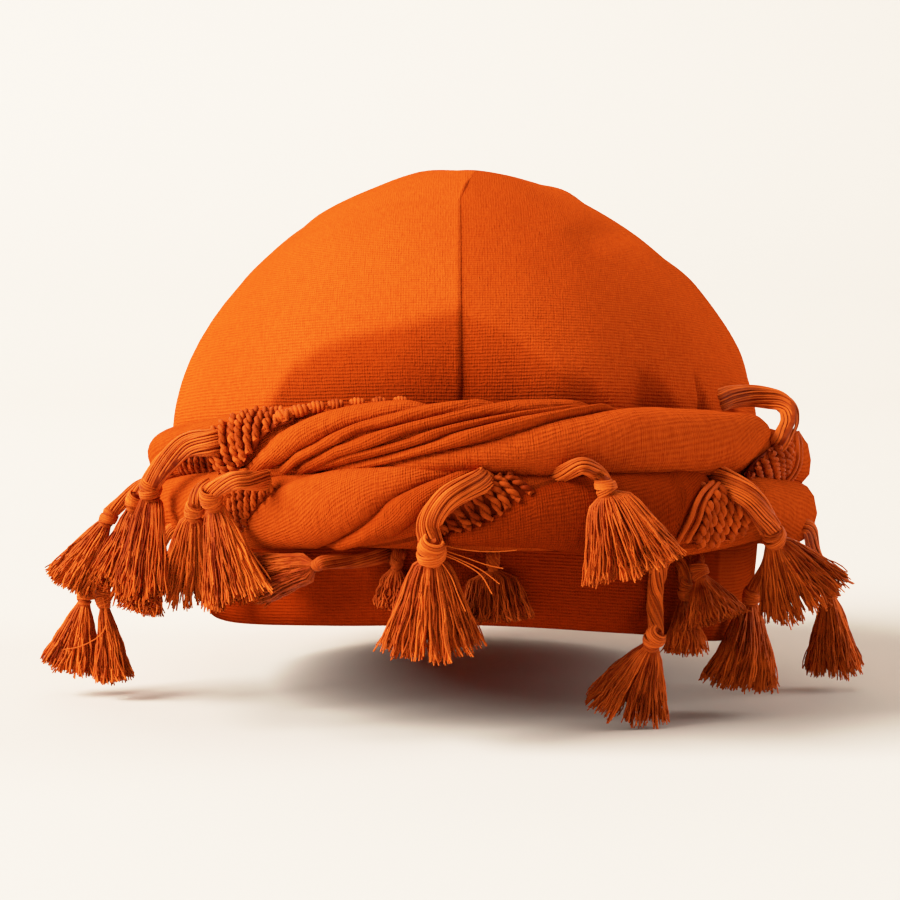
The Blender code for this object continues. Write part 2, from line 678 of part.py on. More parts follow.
def build():
    """Model the whole hat."""
    for thing in list(bpy.data.objects):
        bpy.data.objects.remove(thing, do_unlink=True)
    parts = bpy.data.collections.new("turban_hat")
    bpy.context.scene.collection.children.link(parts)
    frame = bpy.data.objects.new("hat_frame", None)
    frame.rotation_euler = (-radians(HAT_PITCH), 0.0, 0.0)
    parts.objects.link(frame)

    crown_cloth = cloth_material("crown_cloth", (0.80, 0.14, 0.015), 0.9)
    scarf_cloth = cloth_material("scarf_cloth", (0.55, 0.09, 0.01), 0.9)
    border_cord = cloth_material("border_cord", (0.50, 0.08, 0.01), 0.85)
    fringe_thread = cloth_material("fringe_thread", (0.48, 0.07, 0.01), 0.8)
    build_panel("crown_panel_left", -1, parts, crown_cloth, frame)
    build_panel("crown_panel_right", 1, parts, crown_cloth, frame)
    rolls = {}
    for roll in ("upper", "lower"):
        rolls[roll] = build_roll("scarf_roll_" + roll, roll, parts, scarf_cloth, frame)
    bpy.context.view_layer.update()
    for number, (roll, *corners) in enumerate(BORDER_PATCHES, 1):
        name = "border_patch_%02d" % number
        build_patch(name, roll, corners, parts, border_cord, frame, rolls[roll])
    trees = [world_tree(thing) for thing in parts.objects if thing.type == "MESH"]
    trees.append(world_tree(build_loop("thread_loop", parts, fringe_thread, trees)))
    for number, row in enumerate(TASSELS, 1):
        tassel = build_tassel("tassel_%02d" % number, row, parts, fringe_thread, trees)
        trees.append(world_tree(tassel))


build()
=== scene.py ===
"""Looks of the turban hat: cloth, wound folds, knotted border, cords and tassels.

Metres, +Z up, the front of the hat faces -Y. Tables are in millimetres and degrees. Angles round
the head are in degrees from the front, positive towards +X. The cap and the rolls are worked out
upright and pitched back together, and the tassels hang plumb.
"""

import random
from math import atan2, cos, degrees, hypot, pi, radians, sin

import bpy
import numpy as np
from mathutils import Matrix, Vector, noise
from mathutils.bvhtree import BVHTree


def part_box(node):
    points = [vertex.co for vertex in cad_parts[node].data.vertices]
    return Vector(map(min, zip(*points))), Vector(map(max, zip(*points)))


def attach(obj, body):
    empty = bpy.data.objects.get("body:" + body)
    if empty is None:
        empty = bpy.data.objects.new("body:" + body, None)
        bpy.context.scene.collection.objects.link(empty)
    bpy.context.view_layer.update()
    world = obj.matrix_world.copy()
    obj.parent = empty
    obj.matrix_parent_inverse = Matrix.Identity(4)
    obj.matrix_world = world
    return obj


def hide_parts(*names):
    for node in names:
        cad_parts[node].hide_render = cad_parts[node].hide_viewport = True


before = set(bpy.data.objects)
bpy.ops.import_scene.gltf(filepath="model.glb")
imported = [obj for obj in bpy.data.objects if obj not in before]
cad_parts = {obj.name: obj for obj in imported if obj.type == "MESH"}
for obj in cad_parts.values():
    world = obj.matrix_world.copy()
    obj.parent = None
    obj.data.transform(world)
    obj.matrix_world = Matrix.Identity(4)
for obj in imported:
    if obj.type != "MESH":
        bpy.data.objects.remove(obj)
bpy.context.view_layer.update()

MM = 0.001
HAT_PITCH = 6.5
TO_WORLD = Matrix.Rotation(-radians(HAT_PITCH), 4, "X")
FLOOR_LEVEL = -18.0 * MM

# Cap, as in the part's source
CLOTH = 1.6 * MM
GAP = 0.3 * MM
RIM_HALF_WIDTH = 82.3 * MM
RIM_HALF_DEPTH = 97.0 * MM
CROWN_HALF_WIDTH = 89.7 * MM
CROWN_HALF_DEPTH = 106.0 * MM
CROWN_LEVEL = 60.0 * MM
DOME_HEIGHT = 80.2 * MM
DOME_POWER = 1.72
RIM_SHIFT = 4.3 * MM
SEAM_LAP = 0.9 * MM
SEAM_LEAN = (-2.5 * MM, 2.6 * MM)
SEAM_TURN = 16.0 * MM
SEAM_LOW = 0.6 * CROWN_LEVEL
SEAM_EASE = 10.0 * MM
SEAM_LEAST_WIDTH = 12.0 * MM
PLEAT_LIFT = 0.4 * MM
PLEAT_WIDTH = 3.0
PLEAT_EASE = 10.0 * MM
PLEAT_FADE = 12.0 * MM
DENT_FLOOR = 50.0 * MM
DENT_EASE = 8.0 * MM
RIPPLE_DEPTH = 0.7 * MM
RIPPLES = (
    # share, repeats to a metre across and up, shift
    (1.0, 26, 40, 0),
    (0.4, 90, 45, 7),
)
UNDERLAP = 0.1 * MM

CROWN_DENTS = (
    # from angle, height, to angle, height, half width mm, depth mm (below 0 is a ridge)
    (-78, 62, -70, 100, 11, 1.6),
    (-88, 88, -84, 104, 16, 1.3),
    (-60, 118, -8, 126, 9, 0.9),
    (-95, 126, -100, 138, 17, -2.2),
    (72, 62, 64, 104, 11, 1.2),
    (92, 86, 90, 104, 20, -2.1),
    (92, 133, 100, 134, 12, -1.9),
    (34, 112, 58, 118, 9, 0.9),
    (132, 62, 146, 96, 13, 1.8),
    (-128, 62, -140, 98, 13, 1.8),
    (168, 62, 160, 90, 9, 1.4),
)

# Creases of the crown: the cloth turns inward below each line
CROWN_CREASES = (
    # drop in mm for each mm below the line, then (angle, height) along the line
    (0.27, ((-48, 46), (-41, 58), (-38, 66), (-34, 76), (-28, 82), (-20, 85.5), (-13, 87), (0, 92),
            (9, 85), (17, 75), (23, 73), (28, 64), (32, 46))),
    (0.26, ((26, 46), (33, 77), (38, 75), (42, 65), (46, 46))),
    (0.22, ((44, 46), (48, 76), (50, 68), (54, 46))),
)
CREASE_ROUNDING = 1.2
CREASE_SHADE_EASE = 5.0
CREASE_SHADE_REACH = 30.0

# How far the rim is out of level, round the head
RIM_LEVELS = (
    # angle, height
    (-180, 0.0), (-150, 1.0), (-120, 3.0), (-90, 4.3), (-60, 2.1), (-30, 2.3),
    (0, 2.8), (30, 0.1), (60, -2.9), (90, 3.4), (120, 1.0), (150, 0.0),
)

# Heights above the rim and reach beyond the cap of the two rolls, round the head
ROLL_LEVELS = (
    # angle, upper top, split, lower bottom, upper reach, lower reach
    (-180, 61.0, 44.0, 25.0, 14.0, 15.0),
    (-90, 57.0, 44.5, 28.5, 6.5, 7.5),
    (0, 62.6, 44.8, 22.2, 15.0, 16.0),
    (90, 59.0, 43.0, 25.0, 13.0, 15.5),
)
ROLL_SEAT = 0.38
ROLL_FULLNESS = 0.82
ROLL_CORE_INSET = 1.0 * MM
FOLD_TAPER = 6.0

# Folds of the rolls: round the roll, -90 is its bottom, 0 its outside, 90 its top.
# Each row is name, roll, lift mm, then (angle round the head, lower edge, upper edge).
FOLDS = (
    ("left_shoulder", "upper", 2.4, (
        (-104, -60, 50), (-86, -45, 70), (-62, -18, 84), (-45, 8, 94), (-32, 56, 100), (-22, 80, 104))),
    ("left_under", "upper", 1.0, (
        (-96, -96, -58), (-72, -96, -34), (-56, -96, -20), (-42, -96, -60))),
    ("fold_1", "upper", 2.4, (
        (-43, -96, -86), (-38, -90, -42), (-34, -64, -10), (-30, -40, 14), (-26, -12, 34),
        (-22, 2, 58), (-18, 18, 80), (-12, 38, 94), (-4, 74, 102))),
    ("fold_2", "upper", 2.2, (
        (-36, -98, -90), (-31, -74, -46), (-27, -40, -16), (-22, -14, 2), (-16, 6, 24), (-11, 14, 42),
        (-5, 32, 72), (1, 54, 96), (7, 86, 106))),
    ("fold_3", "upper", 2.2, (
        (-34, -98, -92), (-30, -94, -72), (-26, -66, -38), (-20, -32, -7), (-10, 0, 17), (-4, 14, 35),
        (2, 33, 56), (8, 46, 92),
        (16, 65, 104), (23, 94, 110))),
    ("fold_4", "upper", 1.6, (
        (-32, -98, -76), (-18, -44, -20), (-8, -13, 2), (2, 16, 29), (8, 34, 46), (14, 47, 61),
        (22, 74, 90))),
    ("fold_5", "upper", 2.2, (
        (-26, -98, -70), (-18, -63, -44), (-8, -31, -13), (2, -6, 16), (8, 9, 34), (14, 32, 47),
        (18, 46, 60), (26, 80, 96))),
    ("thin_strand", "upper", 1.2, (
        (-26, -99, -80), (-18, -92, -64), (-12, -92, -58), (-6, -92, -68), (2, -99, -88))),
    ("broad_front", "upper", 3.0, (
        (-16, -60, -56), (-10, -60, -38), (-6, -70, -26), (0, -84, -11), (8, -95, 9), (18, -97, 46),
        (25, -97, 79), (32, -97, 96), (38, -90, 100), (44, -67, 104), (50, -19, 106), (55, 9, 108),
        (61, 46, 110))),
    ("right_shoulder", "upper", 3.4, (
        (64, -60, 24), (69, -84, 66), (76, -93, 90), (94, -96, 98),
        (108, -97, 70), (122, -97, 0))),
    ("left_strand", "lower", 2.6, (
        (-92, -96, 6), (-78, -92, 40), (-66, -92, 62), (-57, -88, 74), (-50, -60, 82), (-44, -5, 88),
        (-36, 46, 94), (-26, 74, 98))),
    ("broad_left", "lower", 3.0, (
        (-46, -94, -76), (-42, -94, -40), (-39, -96, -15), (-34, -96, 12), (-27, -90, 50),
        (-21, -47, 72), (-14, -2, 86), (-6, 39, 92), (2, 68, 96))),
    ("fold_6", "lower", 2.4, (
        (-27, -98, -84), (-22, -74, -50), (-18, -60, -28), (-12, -39, 12), (-8, -9, 30), (-4, 17, 48),
        (0, 43, 72), (5, 58, 94), (10, 62, 100), (18, 84, 104))),
    ("broad_right", "lower", 3.0, (
        (-9, -46, -36), (-5, -48, -31), (1, -52, -9), (9, -62, 28), (14, -78, 50), (20, -92, 68),
        (26, -95, 84), (30, -78, 90), (32, -20, 94), (36, 22, 98), (42, 62, 102))),
    ("hem_right", "lower", 2.4, (
        (27, -92, -60), (31, -54, -20), (34, -14, 14), (38, 24, 40), (43, 52, 66))),
    ("strip_right", "lower", 2.4, (
        (30, -96, -76), (36, -84, -54), (42, -66, -34), (48, -54, -14), (56, -44, 6))),
    ("far_right", "lower", 2.6, (
        (46, -6, 78), (54, -40, 86), (60, -62, 92), (70, -85, 96), (82, -96, 96), (94, -96, 60),
        (108, -96, 8))),
)

# The rest of each roll carries like folds at a nearly even step, right round the back
BACK_FOLDS = (
    # roll, first angle, last angle, step, climb span, lift mm
    ("upper", 92, 246, 14, 44, 2.4),
    ("lower", 84, 236, 16, 38, 2.6),
)
BACK_FOLD_BOTTOM = -96
BACK_FOLD_TOP = 104
BACK_FOLD_PARTS = 5


def smooth(t):
    """Ease from 0 to 1."""
    t = min(1.0, max(0.0, t))
    return t * t * (3 - 2 * t)


def fuller(share):
    """Share of a sine or cosine, raised so that a roll's section is plumper than an ellipse."""
    return abs(share) ** ROLL_FULLNESS * (1 if share > 0 else -1)


def between(start, end, share):
    """Value or point on the straight line from start to end."""
    return start + (end - start) * share


def on_cubic(before, here, after, beyond, t):
    """Value between the middle two of four, on a smooth curve through them."""
    slope_here = (after - before) / 2
    slope_after = (beyond - here) / 2
    return (here * (2 * t**3 - 3 * t**2 + 1) + slope_here * (t**3 - 2 * t**2 + t)
            + after * (3 * t**2 - 2 * t**3) + slope_after * (t**3 - t**2))


def round_table(table, angle, column):
    """Value of a column at an angle, on a smooth closed curve through evenly spaced rows."""
    count = len(table)
    place = ((angle - table[0][0]) * count / 360.0) % count
    row = int(place)
    return on_cubic(*(table[(row + k) % count][column] for k in (-1, 0, 1, 2)), place - row)


def through(rows, t):
    """Vector on a smooth open curve through the rows, t from 0 to 1."""
    place = min(1.0, max(0.0, t)) * (len(rows) - 1)
    row = min(int(place), len(rows) - 2)
    here, after = rows[row], rows[row + 1]
    before = rows[row - 1] if row > 0 else here * 2 - after
    beyond = rows[row + 2] if row + 2 < len(rows) else after * 2 - here
    return on_cubic(before, here, after, beyond, place - row)


def curve(rows, steps):
    """Points at even steps on a smooth curve through the rows."""
    return [through(rows, k / steps) for k in range(steps + 1)]


def edge_at(rows, angle, column):
    """Value of a column at an angle, on straight lines between the rows."""
    for here, after in zip(rows, rows[1:]):
        if angle <= after[0]:
            return between(here[column], after[column], (angle - here[0]) / (after[0] - here[0]))
    return rows[-1][column]


def cap_sizes(height):
    """Half width, half depth and sideways shift of the cap at a height above the rim."""
    if height <= CROWN_LEVEL:
        rise = max(0.0, height / CROWN_LEVEL)
        ease = 1 - (1 - rise) ** 2
        return (between(RIM_HALF_WIDTH, CROWN_HALF_WIDTH, ease),
                between(RIM_HALF_DEPTH, CROWN_HALF_DEPTH, ease), RIM_SHIFT * (1 - rise))
    climb = min(1.0, (height - CROWN_LEVEL) / DOME_HEIGHT)
    scale = (1 - climb**DOME_POWER) ** (1 / DOME_POWER)
    return CROWN_HALF_WIDTH * scale, CROWN_HALF_DEPTH * scale, 0.0


def cap_point(angle, height, out=0.0):
    """Point of the plain cap, or one that stands out from it level."""
    half_width, half_depth, shift = cap_sizes(height)
    side, front = sin(radians(angle)), cos(radians(angle))
    normal = Vector((half_depth * side, -half_width * front, 0.0))
    if normal.length > 0:
        normal.normalize()
    return Vector((shift + half_width * side, -half_depth * front, height)) + normal * out


def away_from_line(here, start, end):
    """Distance of a place from a straight line between two points."""
    along = end - start
    share = min(1.0, max(0.0, (here - start).dot(along) / along.length_squared))
    return (here - start - along * share).length


# End points of each dent on the plain cap, its half width and its depth
DENT_LINES = [(cap_point(a, low * MM), cap_point(b, high * MM), wide * MM, deep * MM)
              for a, low, b, high, wide, deep in CROWN_DENTS]


def below_creases(angle, height):
    """Slope of each crease that spans an angle, and how far its line is above a height in mm."""
    return [(slope, edge_at(line, angle, 1) - height / MM) for slope, line in CROWN_CREASES
            if line[0][0] < angle < line[-1][0]]


def crease_drop(angle, height):
    """How far a place lies inward because it is below a crease line."""
    return MM * max([0.0] + [slope * (hypot(below, CREASE_ROUNDING) - CREASE_ROUNDING)
                             for slope, below in below_creases(angle, height) if below > 0])


def crease_shade(angle, height):
    """How deep in the shade of a crease a place is, 0 to 1."""
    return max([0.0] + [smooth(below / CREASE_SHADE_EASE)
                        * (0.6 + 0.4 * min(1.0, below / CREASE_SHADE_REACH))
                        for _, below in below_creases(angle, height)])


def crown_drop(angle, height):
    """How far dents, creases and small ripples move the crown's cloth inward."""
    here = cap_point(angle, height)
    depth = 0.0
    for start, end, wide, deep in DENT_LINES:
        depth += deep * smooth(1 - away_from_line(here, start, end) / wide)
    depth += crease_drop(angle, height)
    ripple = sum(share * noise.noise(Vector((here.x * across, here.y * across, here.z * up + shift)))
                 for share, across, up, shift in RIPPLES)
    return (depth + RIPPLE_DEPTH * ripple) * smooth((height - DENT_FLOOR) / DENT_EASE)


def panel_point(angle, height, pleat=0.0):
    """Point of the cap's outer cloth with its dents, the seam pleat and the skewed rim."""
    point = cap_point(angle, height)
    centre = Vector((0.0, 0.0, min(height, CROWN_LEVEL)))
    outward = (point - centre).normalized()
    lift = -crown_drop(angle, height)
    beside_seam = smooth(1 - abs(angle) / PLEAT_WIDTH)
    below_pole = CROWN_LEVEL + DOME_HEIGHT - height
    lift += (pleat * beside_seam * smooth((height - CROWN_LEVEL) / PLEAT_EASE)
             * smooth(below_pole / PLEAT_FADE))
    point += outward * lift
    point.z += smooth(1 - height / CROWN_LEVEL) * round_table(RIM_LEVELS, angle, 1) * MM
    return point


def roll_limits(roll, angle):
    """Lowest and highest level and outward reach of a roll at an angle round the head."""
    top, split, bottom = (round_table(ROLL_LEVELS, angle, column) * MM for column in (1, 2, 3))
    if roll == "upper":
        return split + GAP / 2, top, round_table(ROLL_LEVELS, angle, 4) * MM
    return bottom, split - GAP / 2, round_table(ROLL_LEVELS, angle, 5) * MM


def back_folds():
    """Rows of the folds that carry on round the back, in the form of FOLDS."""
    rows = []
    for roll, first, last, step, span, lift in BACK_FOLDS:
        for number in range(int((last - first) / step) + 1):
            start = first + step * number + 2.5 * sin(2.3 * number)
            width = step * (1.15 + 0.25 * sin(1.7 * number + 1))
            edges = []
            for part in range(BACK_FOLD_PARTS + 1):
                angle = start + (span + width) * part / BACK_FOLD_PARTS
                low, high = (between(BACK_FOLD_BOTTOM, BACK_FOLD_TOP, smooth((angle - left) / span))
                             for left in (start + width, start))
                edges.append((angle, low, high))
            rows.append(("back", roll, lift * (0.85 + 0.2 * sin(3.1 * number)), edges))
    return rows


def roll_surface(roll, angle, turn, lift):
    """Point that stands a given height above a roll's core: turn -90 is its bottom, 90 its top."""
    low, high, reach = roll_limits(roll, angle)
    reach -= ROLL_CORE_INSET
    if roll == "upper":
        high -= ROLL_CORE_INSET
    else:
        low += ROLL_CORE_INSET
    half = (high - low) / 2
    up, away = fuller(sin(radians(turn))), fuller(cos(radians(turn)))
    normal_out = half * away
    normal_up = reach * (1 - ROLL_SEAT) * up
    size = hypot(normal_out, normal_up)
    out = reach * (ROLL_SEAT + (1 - ROLL_SEAT) * away) + lift * normal_out / size
    level = (low + high) / 2 + half * up + lift * normal_up / size
    return cap_point(angle, level, max(out, GAP))


def placed(name, data):
    """A new object in the scene."""
    thing = bpy.data.objects.new(name, data)
    bpy.context.scene.collection.objects.link(thing)
    return thing


class Shape:
    """A piece while it is being made: points, faces, and weave values (along, across, tone). On cloth the
    tone is painted shade; on thread it is how light each one is, painted shade included.
    """

    def __init__(self):
        self.points = []
        self.faces = []
        self.weave = []

    def add(self, point, along=0.0, across=0.0, tone=0.5):
        self.points.append(tuple(point))
        self.weave.append((along, across, tone))
        return len(self.points) - 1

    def grid(self, rows, closed_rows=False, closed_columns=False):
        """Faces between equal rows of point numbers."""
        pairs = list(zip(rows, rows[1:]))
        if closed_rows:
            pairs.append((rows[-1], rows[0]))
        for here, after in pairs:
            count = len(here)
            for k in range(count if closed_columns else count - 1):
                beside = (k + 1) % count
                self.faces.append((here[k], after[k], after[beside], here[beside]))

    def close(self, rings):
        """Faces of a closed solid that has equal rings of point numbers as its sections."""
        self.grid(rings, closed_columns=True)
        self.faces.append(tuple(reversed(rings[0])))
        self.faces.append(tuple(rings[-1]))

    def tube(self, path, radius, sides, tone=0.5, flat=1.0, sideways=None):
        """A closed tube along a path. Radius and tone are a number, or a list with one for each point."""
        count = len(path)
        radii, tones = (value if isinstance(value, list) else [value] * count for value in (radius, tone))
        rings = []
        side = sideways
        length = 0.0
        for k in range(count):
            before, after = path[max(0, k - 1)], path[min(count - 1, k + 1)]
            run = after - before
            if run.length < 1e-9:
                run = Vector((0, 0, -1))
            run.normalize()
            if side is None:
                side = run.orthogonal()
            side = side - run * side.dot(run)
            if side.length < 1e-6:
                side = run.orthogonal()
            side.normalize()
            other = run.cross(side)
            length += (path[k] - path[k - 1]).length if k else 0.0
            ring = []
            for number in range(sides):
                turn = 2 * pi * number / sides
                spot = path[k] + side * (radii[k] * cos(turn)) + other * (radii[k] * flat * sin(turn))
                ring.append(self.add(spot, length, turn, tones[k]))
            rings.append(ring)
        self.close(rings)

    def mesh(self, name, material):
        """The points and faces as a smooth mesh."""
        mesh = bpy.data.meshes.new(name)
        mesh.from_pydata(self.points, [], self.faces)
        mesh.shade_smooth()
        mesh.materials.append(material)
        return mesh

    def make(self, name, material, cad_node, upright=False):
        """The finished object, riding on the body and standing for its CAD node."""
        mesh = self.mesh(name, material)
        attribute = mesh.attributes.new("weave", "FLOAT_VECTOR", "POINT")
        attribute.data.foreach_set("vector", np.array(self.weave, np.float32).ravel())
        if upright:
            mesh.transform(TO_WORLD)
        thing = placed(name, mesh)
        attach(thing, "root")
        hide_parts(cad_node)
        return thing


# Materials

GLOSS_TINT = (1.0, 0.40, 0.12)
# Colour that the cloth's colour is multiplied towards as far as its tone paints shade
SHADE_TINT = (0.34, 0.22, 0.14)

# Noise of the cloth in repeats to a metre: all over, then along and across the weave
PATCH_SCALE = 55.0
BROAD_SCALE = 16.0
GRAIN_SCALE = 1500.0
SLUB_SCALES = ((350.0, 2600.0), (1900.0, 230.0))
FLECK_SCALES = (2300.0, 520.0)
FLECK_LEVEL = 0.59
FLECK_SLOPE = 6.0
RIB_WOBBLE = 5.0
THREAD_WOBBLE = 1.5
TWIST_PITCH = 0.9 * MM


class Looks:
    """A material while its nodes are being made. Values are numbers or sockets."""

    def __init__(self, name, roughness, gloss, gloss_tint=GLOSS_TINT):
        self.material = bpy.data.materials.new(name)
        self.material.use_nodes = True
        self.tree = self.material.node_tree
        self.shader = self.tree.nodes["Principled BSDF"]
        self.shader.inputs["Roughness"].default_value = roughness
        self.shader.inputs["Specular IOR Level"].default_value = gloss
        self.shader.inputs["Specular Tint"].default_value = (*gloss_tint, 1.0)

    def feed(self, socket, value):
        """Link a socket to another one, or set its number or colour."""
        if isinstance(value, bpy.types.NodeSocket):
            self.tree.links.new(value, socket)
        else:
            socket.default_value = (*value, 1.0) if isinstance(value, tuple) else value

    def node(self, kind, **inputs):
        """A new node with its named inputs fed."""
        made = self.tree.nodes.new("ShaderNode" + kind)
        for name, value in inputs.items():
            self.feed(made.inputs[name], value)
        return made

    def maths(self, operation, *values):
        """Result of one sum."""
        made = self.node("Math")
        made.operation = operation
        for socket, value in zip(made.inputs, values):
            self.feed(socket, value)
        return made.outputs[0]

    def blend(self, *parts, base=0.0):
        """A base and a sum of parts, each a value and its weight."""
        for value, weight in parts:
            base = self.maths("MULTIPLY_ADD", value, weight, base)
        return base

    def clamped(self, value):
        """A value kept from 0 to 1."""
        return self.node("Clamp", Value=value).outputs[0]

    def mixed(self, share, a, b, blend="MIX"):
        """Colour between two colours, or the first multiplied by the second as far as the share says."""
        made = self.node("Mix")
        made.data_type = "RGBA"
        made.blend_type = blend
        for number, value in ((0, share), (6, a), (7, b)):
            self.feed(made.inputs[number], value)
        return made.outputs[2]

    def weave(self):
        """The weave values as one vector, then along and across in metres, and tone from 0 to 1."""
        source = self.node("Attribute")
        source.attribute_name = "weave"
        split = self.node("SeparateXYZ", Vector=source.outputs["Vector"])
        return source.outputs["Vector"], *split.outputs

    def wave(self, distance, pitch, shift):
        """Rounded ribs, 0 to 1, a pitch apart along a distance, with a shift in radians."""
        turns = self.blend((distance, 2 * pi / pitch), base=shift)
        return self.blend((self.maths("SINE", turns), 0.5), base=0.5)

    def noise(self, place, scale, detail=2.0, roughness=0.5):
        """Noise from 0 to 1."""
        made = self.node("TexNoise", Vector=place, Scale=scale, Detail=detail, Roughness=roughness)
        return made.outputs[0]

    def stretched_noise(self, place, along, across):
        """Noise on the weave with its own scale along and across."""
        stretch = self.node("Mapping", Vector=place)
        stretch.inputs["Scale"].default_value = (along, across, 0.0)
        return self.noise(stretch.outputs[0], 1.0)

    def finish(self, height, bump, strength, colour):
        """The material with a bump and a colour."""
        lifted = self.node("Bump", Height=height, Distance=bump, Strength=strength)
        self.feed(self.shader.inputs["Normal"], lifted.outputs[0])
        self.feed(self.shader.inputs["Base Color"], colour)
        return self.material


def cloth(name, light, dark, rib_pitch, thread_pitch, bump, rib_share):
    """Woven cotton: ribs across, finer threads along, slubs, pale flecks and worn patches."""
    looks = Looks(name, 0.95, 0.0)
    weave_place, along, across, tone = looks.weave()
    place = looks.node("TexCoord").outputs["Object"]
    patch = looks.noise(place, PATCH_SCALE, 4.0, 0.6)
    broad = looks.noise(place, BROAD_SCALE)
    grain = looks.noise(place, GRAIN_SCALE)
    wobble = looks.maths("MULTIPLY", patch, RIB_WOBBLE)
    rib = looks.wave(across, rib_pitch * MM, wobble)
    thread = looks.wave(along, thread_pitch * MM, looks.maths("MULTIPLY", wobble, THREAD_WOBBLE))
    weave = looks.blend((rib, rib_share), (thread, 1 - rib_share))
    weave = looks.maths("MULTIPLY", weave, looks.blend((broad, 1.1), (patch, 0.6)))
    slubs = looks.maths("ADD", *(looks.stretched_noise(weave_place, *scales) for scales in SLUB_SCALES))
    fleck = looks.maths("SUBTRACT", looks.stretched_noise(weave_place, *FLECK_SCALES), FLECK_LEVEL)
    flecks = looks.clamped(looks.maths("MULTIPLY", fleck, FLECK_SLOPE))
    height = looks.blend((weave, 1.0), (slubs, 1.1), (grain, 0.9), (flecks, 0.9))
    # Painted shade: the weave shows more contrast where the tone paints shade
    contrast = looks.blend((tone, 0.35), base=0.48)
    # Darker in the weave's valleys: partly the yarn's own colour, partly painted shade
    share = looks.blend((weave, contrast), (slubs, 0.70), (broad, 0.35), (flecks, 0.55), base=-0.42)
    colour = looks.mixed(looks.clamped(share), dark, light)
    # Painted shade: the tone multiplies the colour towards SHADE_TINT
    return looks.finish(height, bump * MM, 1.0, looks.mixed(tone, colour, SHADE_TINT, "MULTIPLY"))


def threads(name, light, dark, gloss, bump):
    """Loose or twisted cotton thread: each thread has its own tone, with faint twist marks."""
    looks = Looks(name, 0.6, gloss)
    _, along, around, tone = looks.weave()
    patch = looks.noise(looks.node("TexCoord").outputs["Object"], 300.0, 3.0)
    # The tone sets how light each thread is; it also carries the painted shade of fillers, cores and thin
    # cords
    share = looks.clamped(looks.blend((tone, 0.9), (patch, 0.5), base=-0.2))
    twist = looks.wave(along, TWIST_PITCH, around)
    return looks.finish(twist, bump * MM, 0.7, looks.mixed(share, dark, light))


# Crown

CROWN_COLUMNS = 150
RIM_STEPS = 14
DOME_STEPS = 96

# Shade in the cloth's colour: on the rim, left and right, and on the front of the right panel
RIM_TOP = 38.0 * MM
RIM_SHADE_EASE = 8.0 * MM
RIM_SHADE = {-1: 1.0, 1: 0.75}
RIGHT_SHADE = 0.46
RIGHT_SHADE_END = 66
RIGHT_SHADE_EASE = 40


def crown_heights():
    """Levels of a crown panel's rows, from the rim up to just under the pole."""
    return ([CROWN_LEVEL * row / RIM_STEPS for row in range(RIM_STEPS + 1)]
            + [CROWN_LEVEL + DOME_HEIGHT * sin(pi / 2 * row / DOME_STEPS) for row in range(1, DOME_STEPS)])


def seam_angle(level, side):
    """Angle of the front seam at a level; the left panel laps over the right one."""
    top = CROWN_LEVEL + DOME_HEIGHT
    lean = between(*SEAM_LEAN, smooth((level - top) / SEAM_TURN + 1))
    lean *= smooth((level - SEAM_LOW) / SEAM_EASE)
    if side < 0:
        lean += SEAM_LAP * smooth(level / CROWN_LEVEL)
    return degrees(atan2(lean, max(cap_sizes(level)[0], SEAM_LEAST_WIDTH)))


def crown_shade(angle, level, side):
    """How far the cloth's colour is in the shade, 0 to 1."""
    rim = RIM_SHADE[side] * smooth((RIM_TOP - level) / RIM_SHADE_EASE)
    front = RIGHT_SHADE * smooth((RIGHT_SHADE_END - angle) / RIGHT_SHADE_EASE) if side > 0 else 0.0
    return max(crease_shade(angle, level), rim, front)


def crown_panel(name, side, cad_node, material):
    """One half of the cap as fine cloth with its own thickness; side is -1 left, 1 right."""
    shape = Shape()
    rows = []
    rise = 0.0
    last = panel_point(0.0, 0.0)
    for level in crown_heights():
        front = panel_point(0.0, level)
        rise += (front - last).length
        last = front
        start = seam_angle(level, side)
        half_width, half_depth, _ = cap_sizes(level)
        row = []
        for column in range(CROWN_COLUMNS + 1):
            angle = between(start, side * 180.0, column / CROWN_COLUMNS)
            point = panel_point(angle, level, PLEAT_LIFT if side < 0 else -UNDERLAP)
            along = radians(angle) * (half_width + half_depth) / 2
            row.append(shape.add(point, along, rise, crown_shade(angle, level, side)))
        rows.append(row)
    shape.grid(rows)
    if side > 0:
        shape.faces = [tuple(reversed(face)) for face in shape.faces]
    pole_level = CROWN_LEVEL + DOME_HEIGHT - (PLEAT_LIFT if side > 0 else 0.0)
    pole = shape.add((0.0, 0.0, pole_level), 0.0, rise, 0.0)
    for here, after in zip(rows[-1], rows[-1][1:]):
        shape.faces.append((here, after, pole) if side > 0 else (after, here, pole))
    panel = shape.make(name, material, cad_node, upright=True)
    shell = panel.modifiers.new("thickness", "SOLIDIFY")
    shell.thickness = CLOTH
    shell.offset = -1.0


# Rolls

FOLD_POWER = 2.3
FOLD_ROUNDNESS = 0.62
FOLD_UNDER = 1.2 * MM
FOLD_EDGE = -0.5 * MM
FOLD_CELLS = 14
FOLD_STEPS_PER_DEGREE = 1.5
FOLD_LEAST_STEPS = 12
EDGE_WANDER = 1.6
EDGE_WANDER_RATE = 0.11
STREAK_DEPTH = 0.38 * MM

# Painted shade on folds that lie in the shade of others, 0 to 1
FOLD_SHADES = {
    "broad_right": 0.75, "fold_6": 0.35, "hem_right": 0.3, "fold_2": 0.2, "fold_3": 0.3,
    "fold_4": 0.4, "fold_5": 0.3, "left_under": 0.4, "strip_right": 0.3,
}

# Core of a roll: steps along and round, twist, and size of its weave in metres
CORE_COLUMNS = 240
CORE_SIDES = 36
CORE_TWIST = 4
CORE_RADIUS = 0.11
CORE_GIRTH = 0.06


def fold_profile(across):
    """Height of a fold's section, 1 in the middle and 0 at its edges."""
    return (1 - abs(across) ** FOLD_POWER) ** FOLD_ROUNDNESS


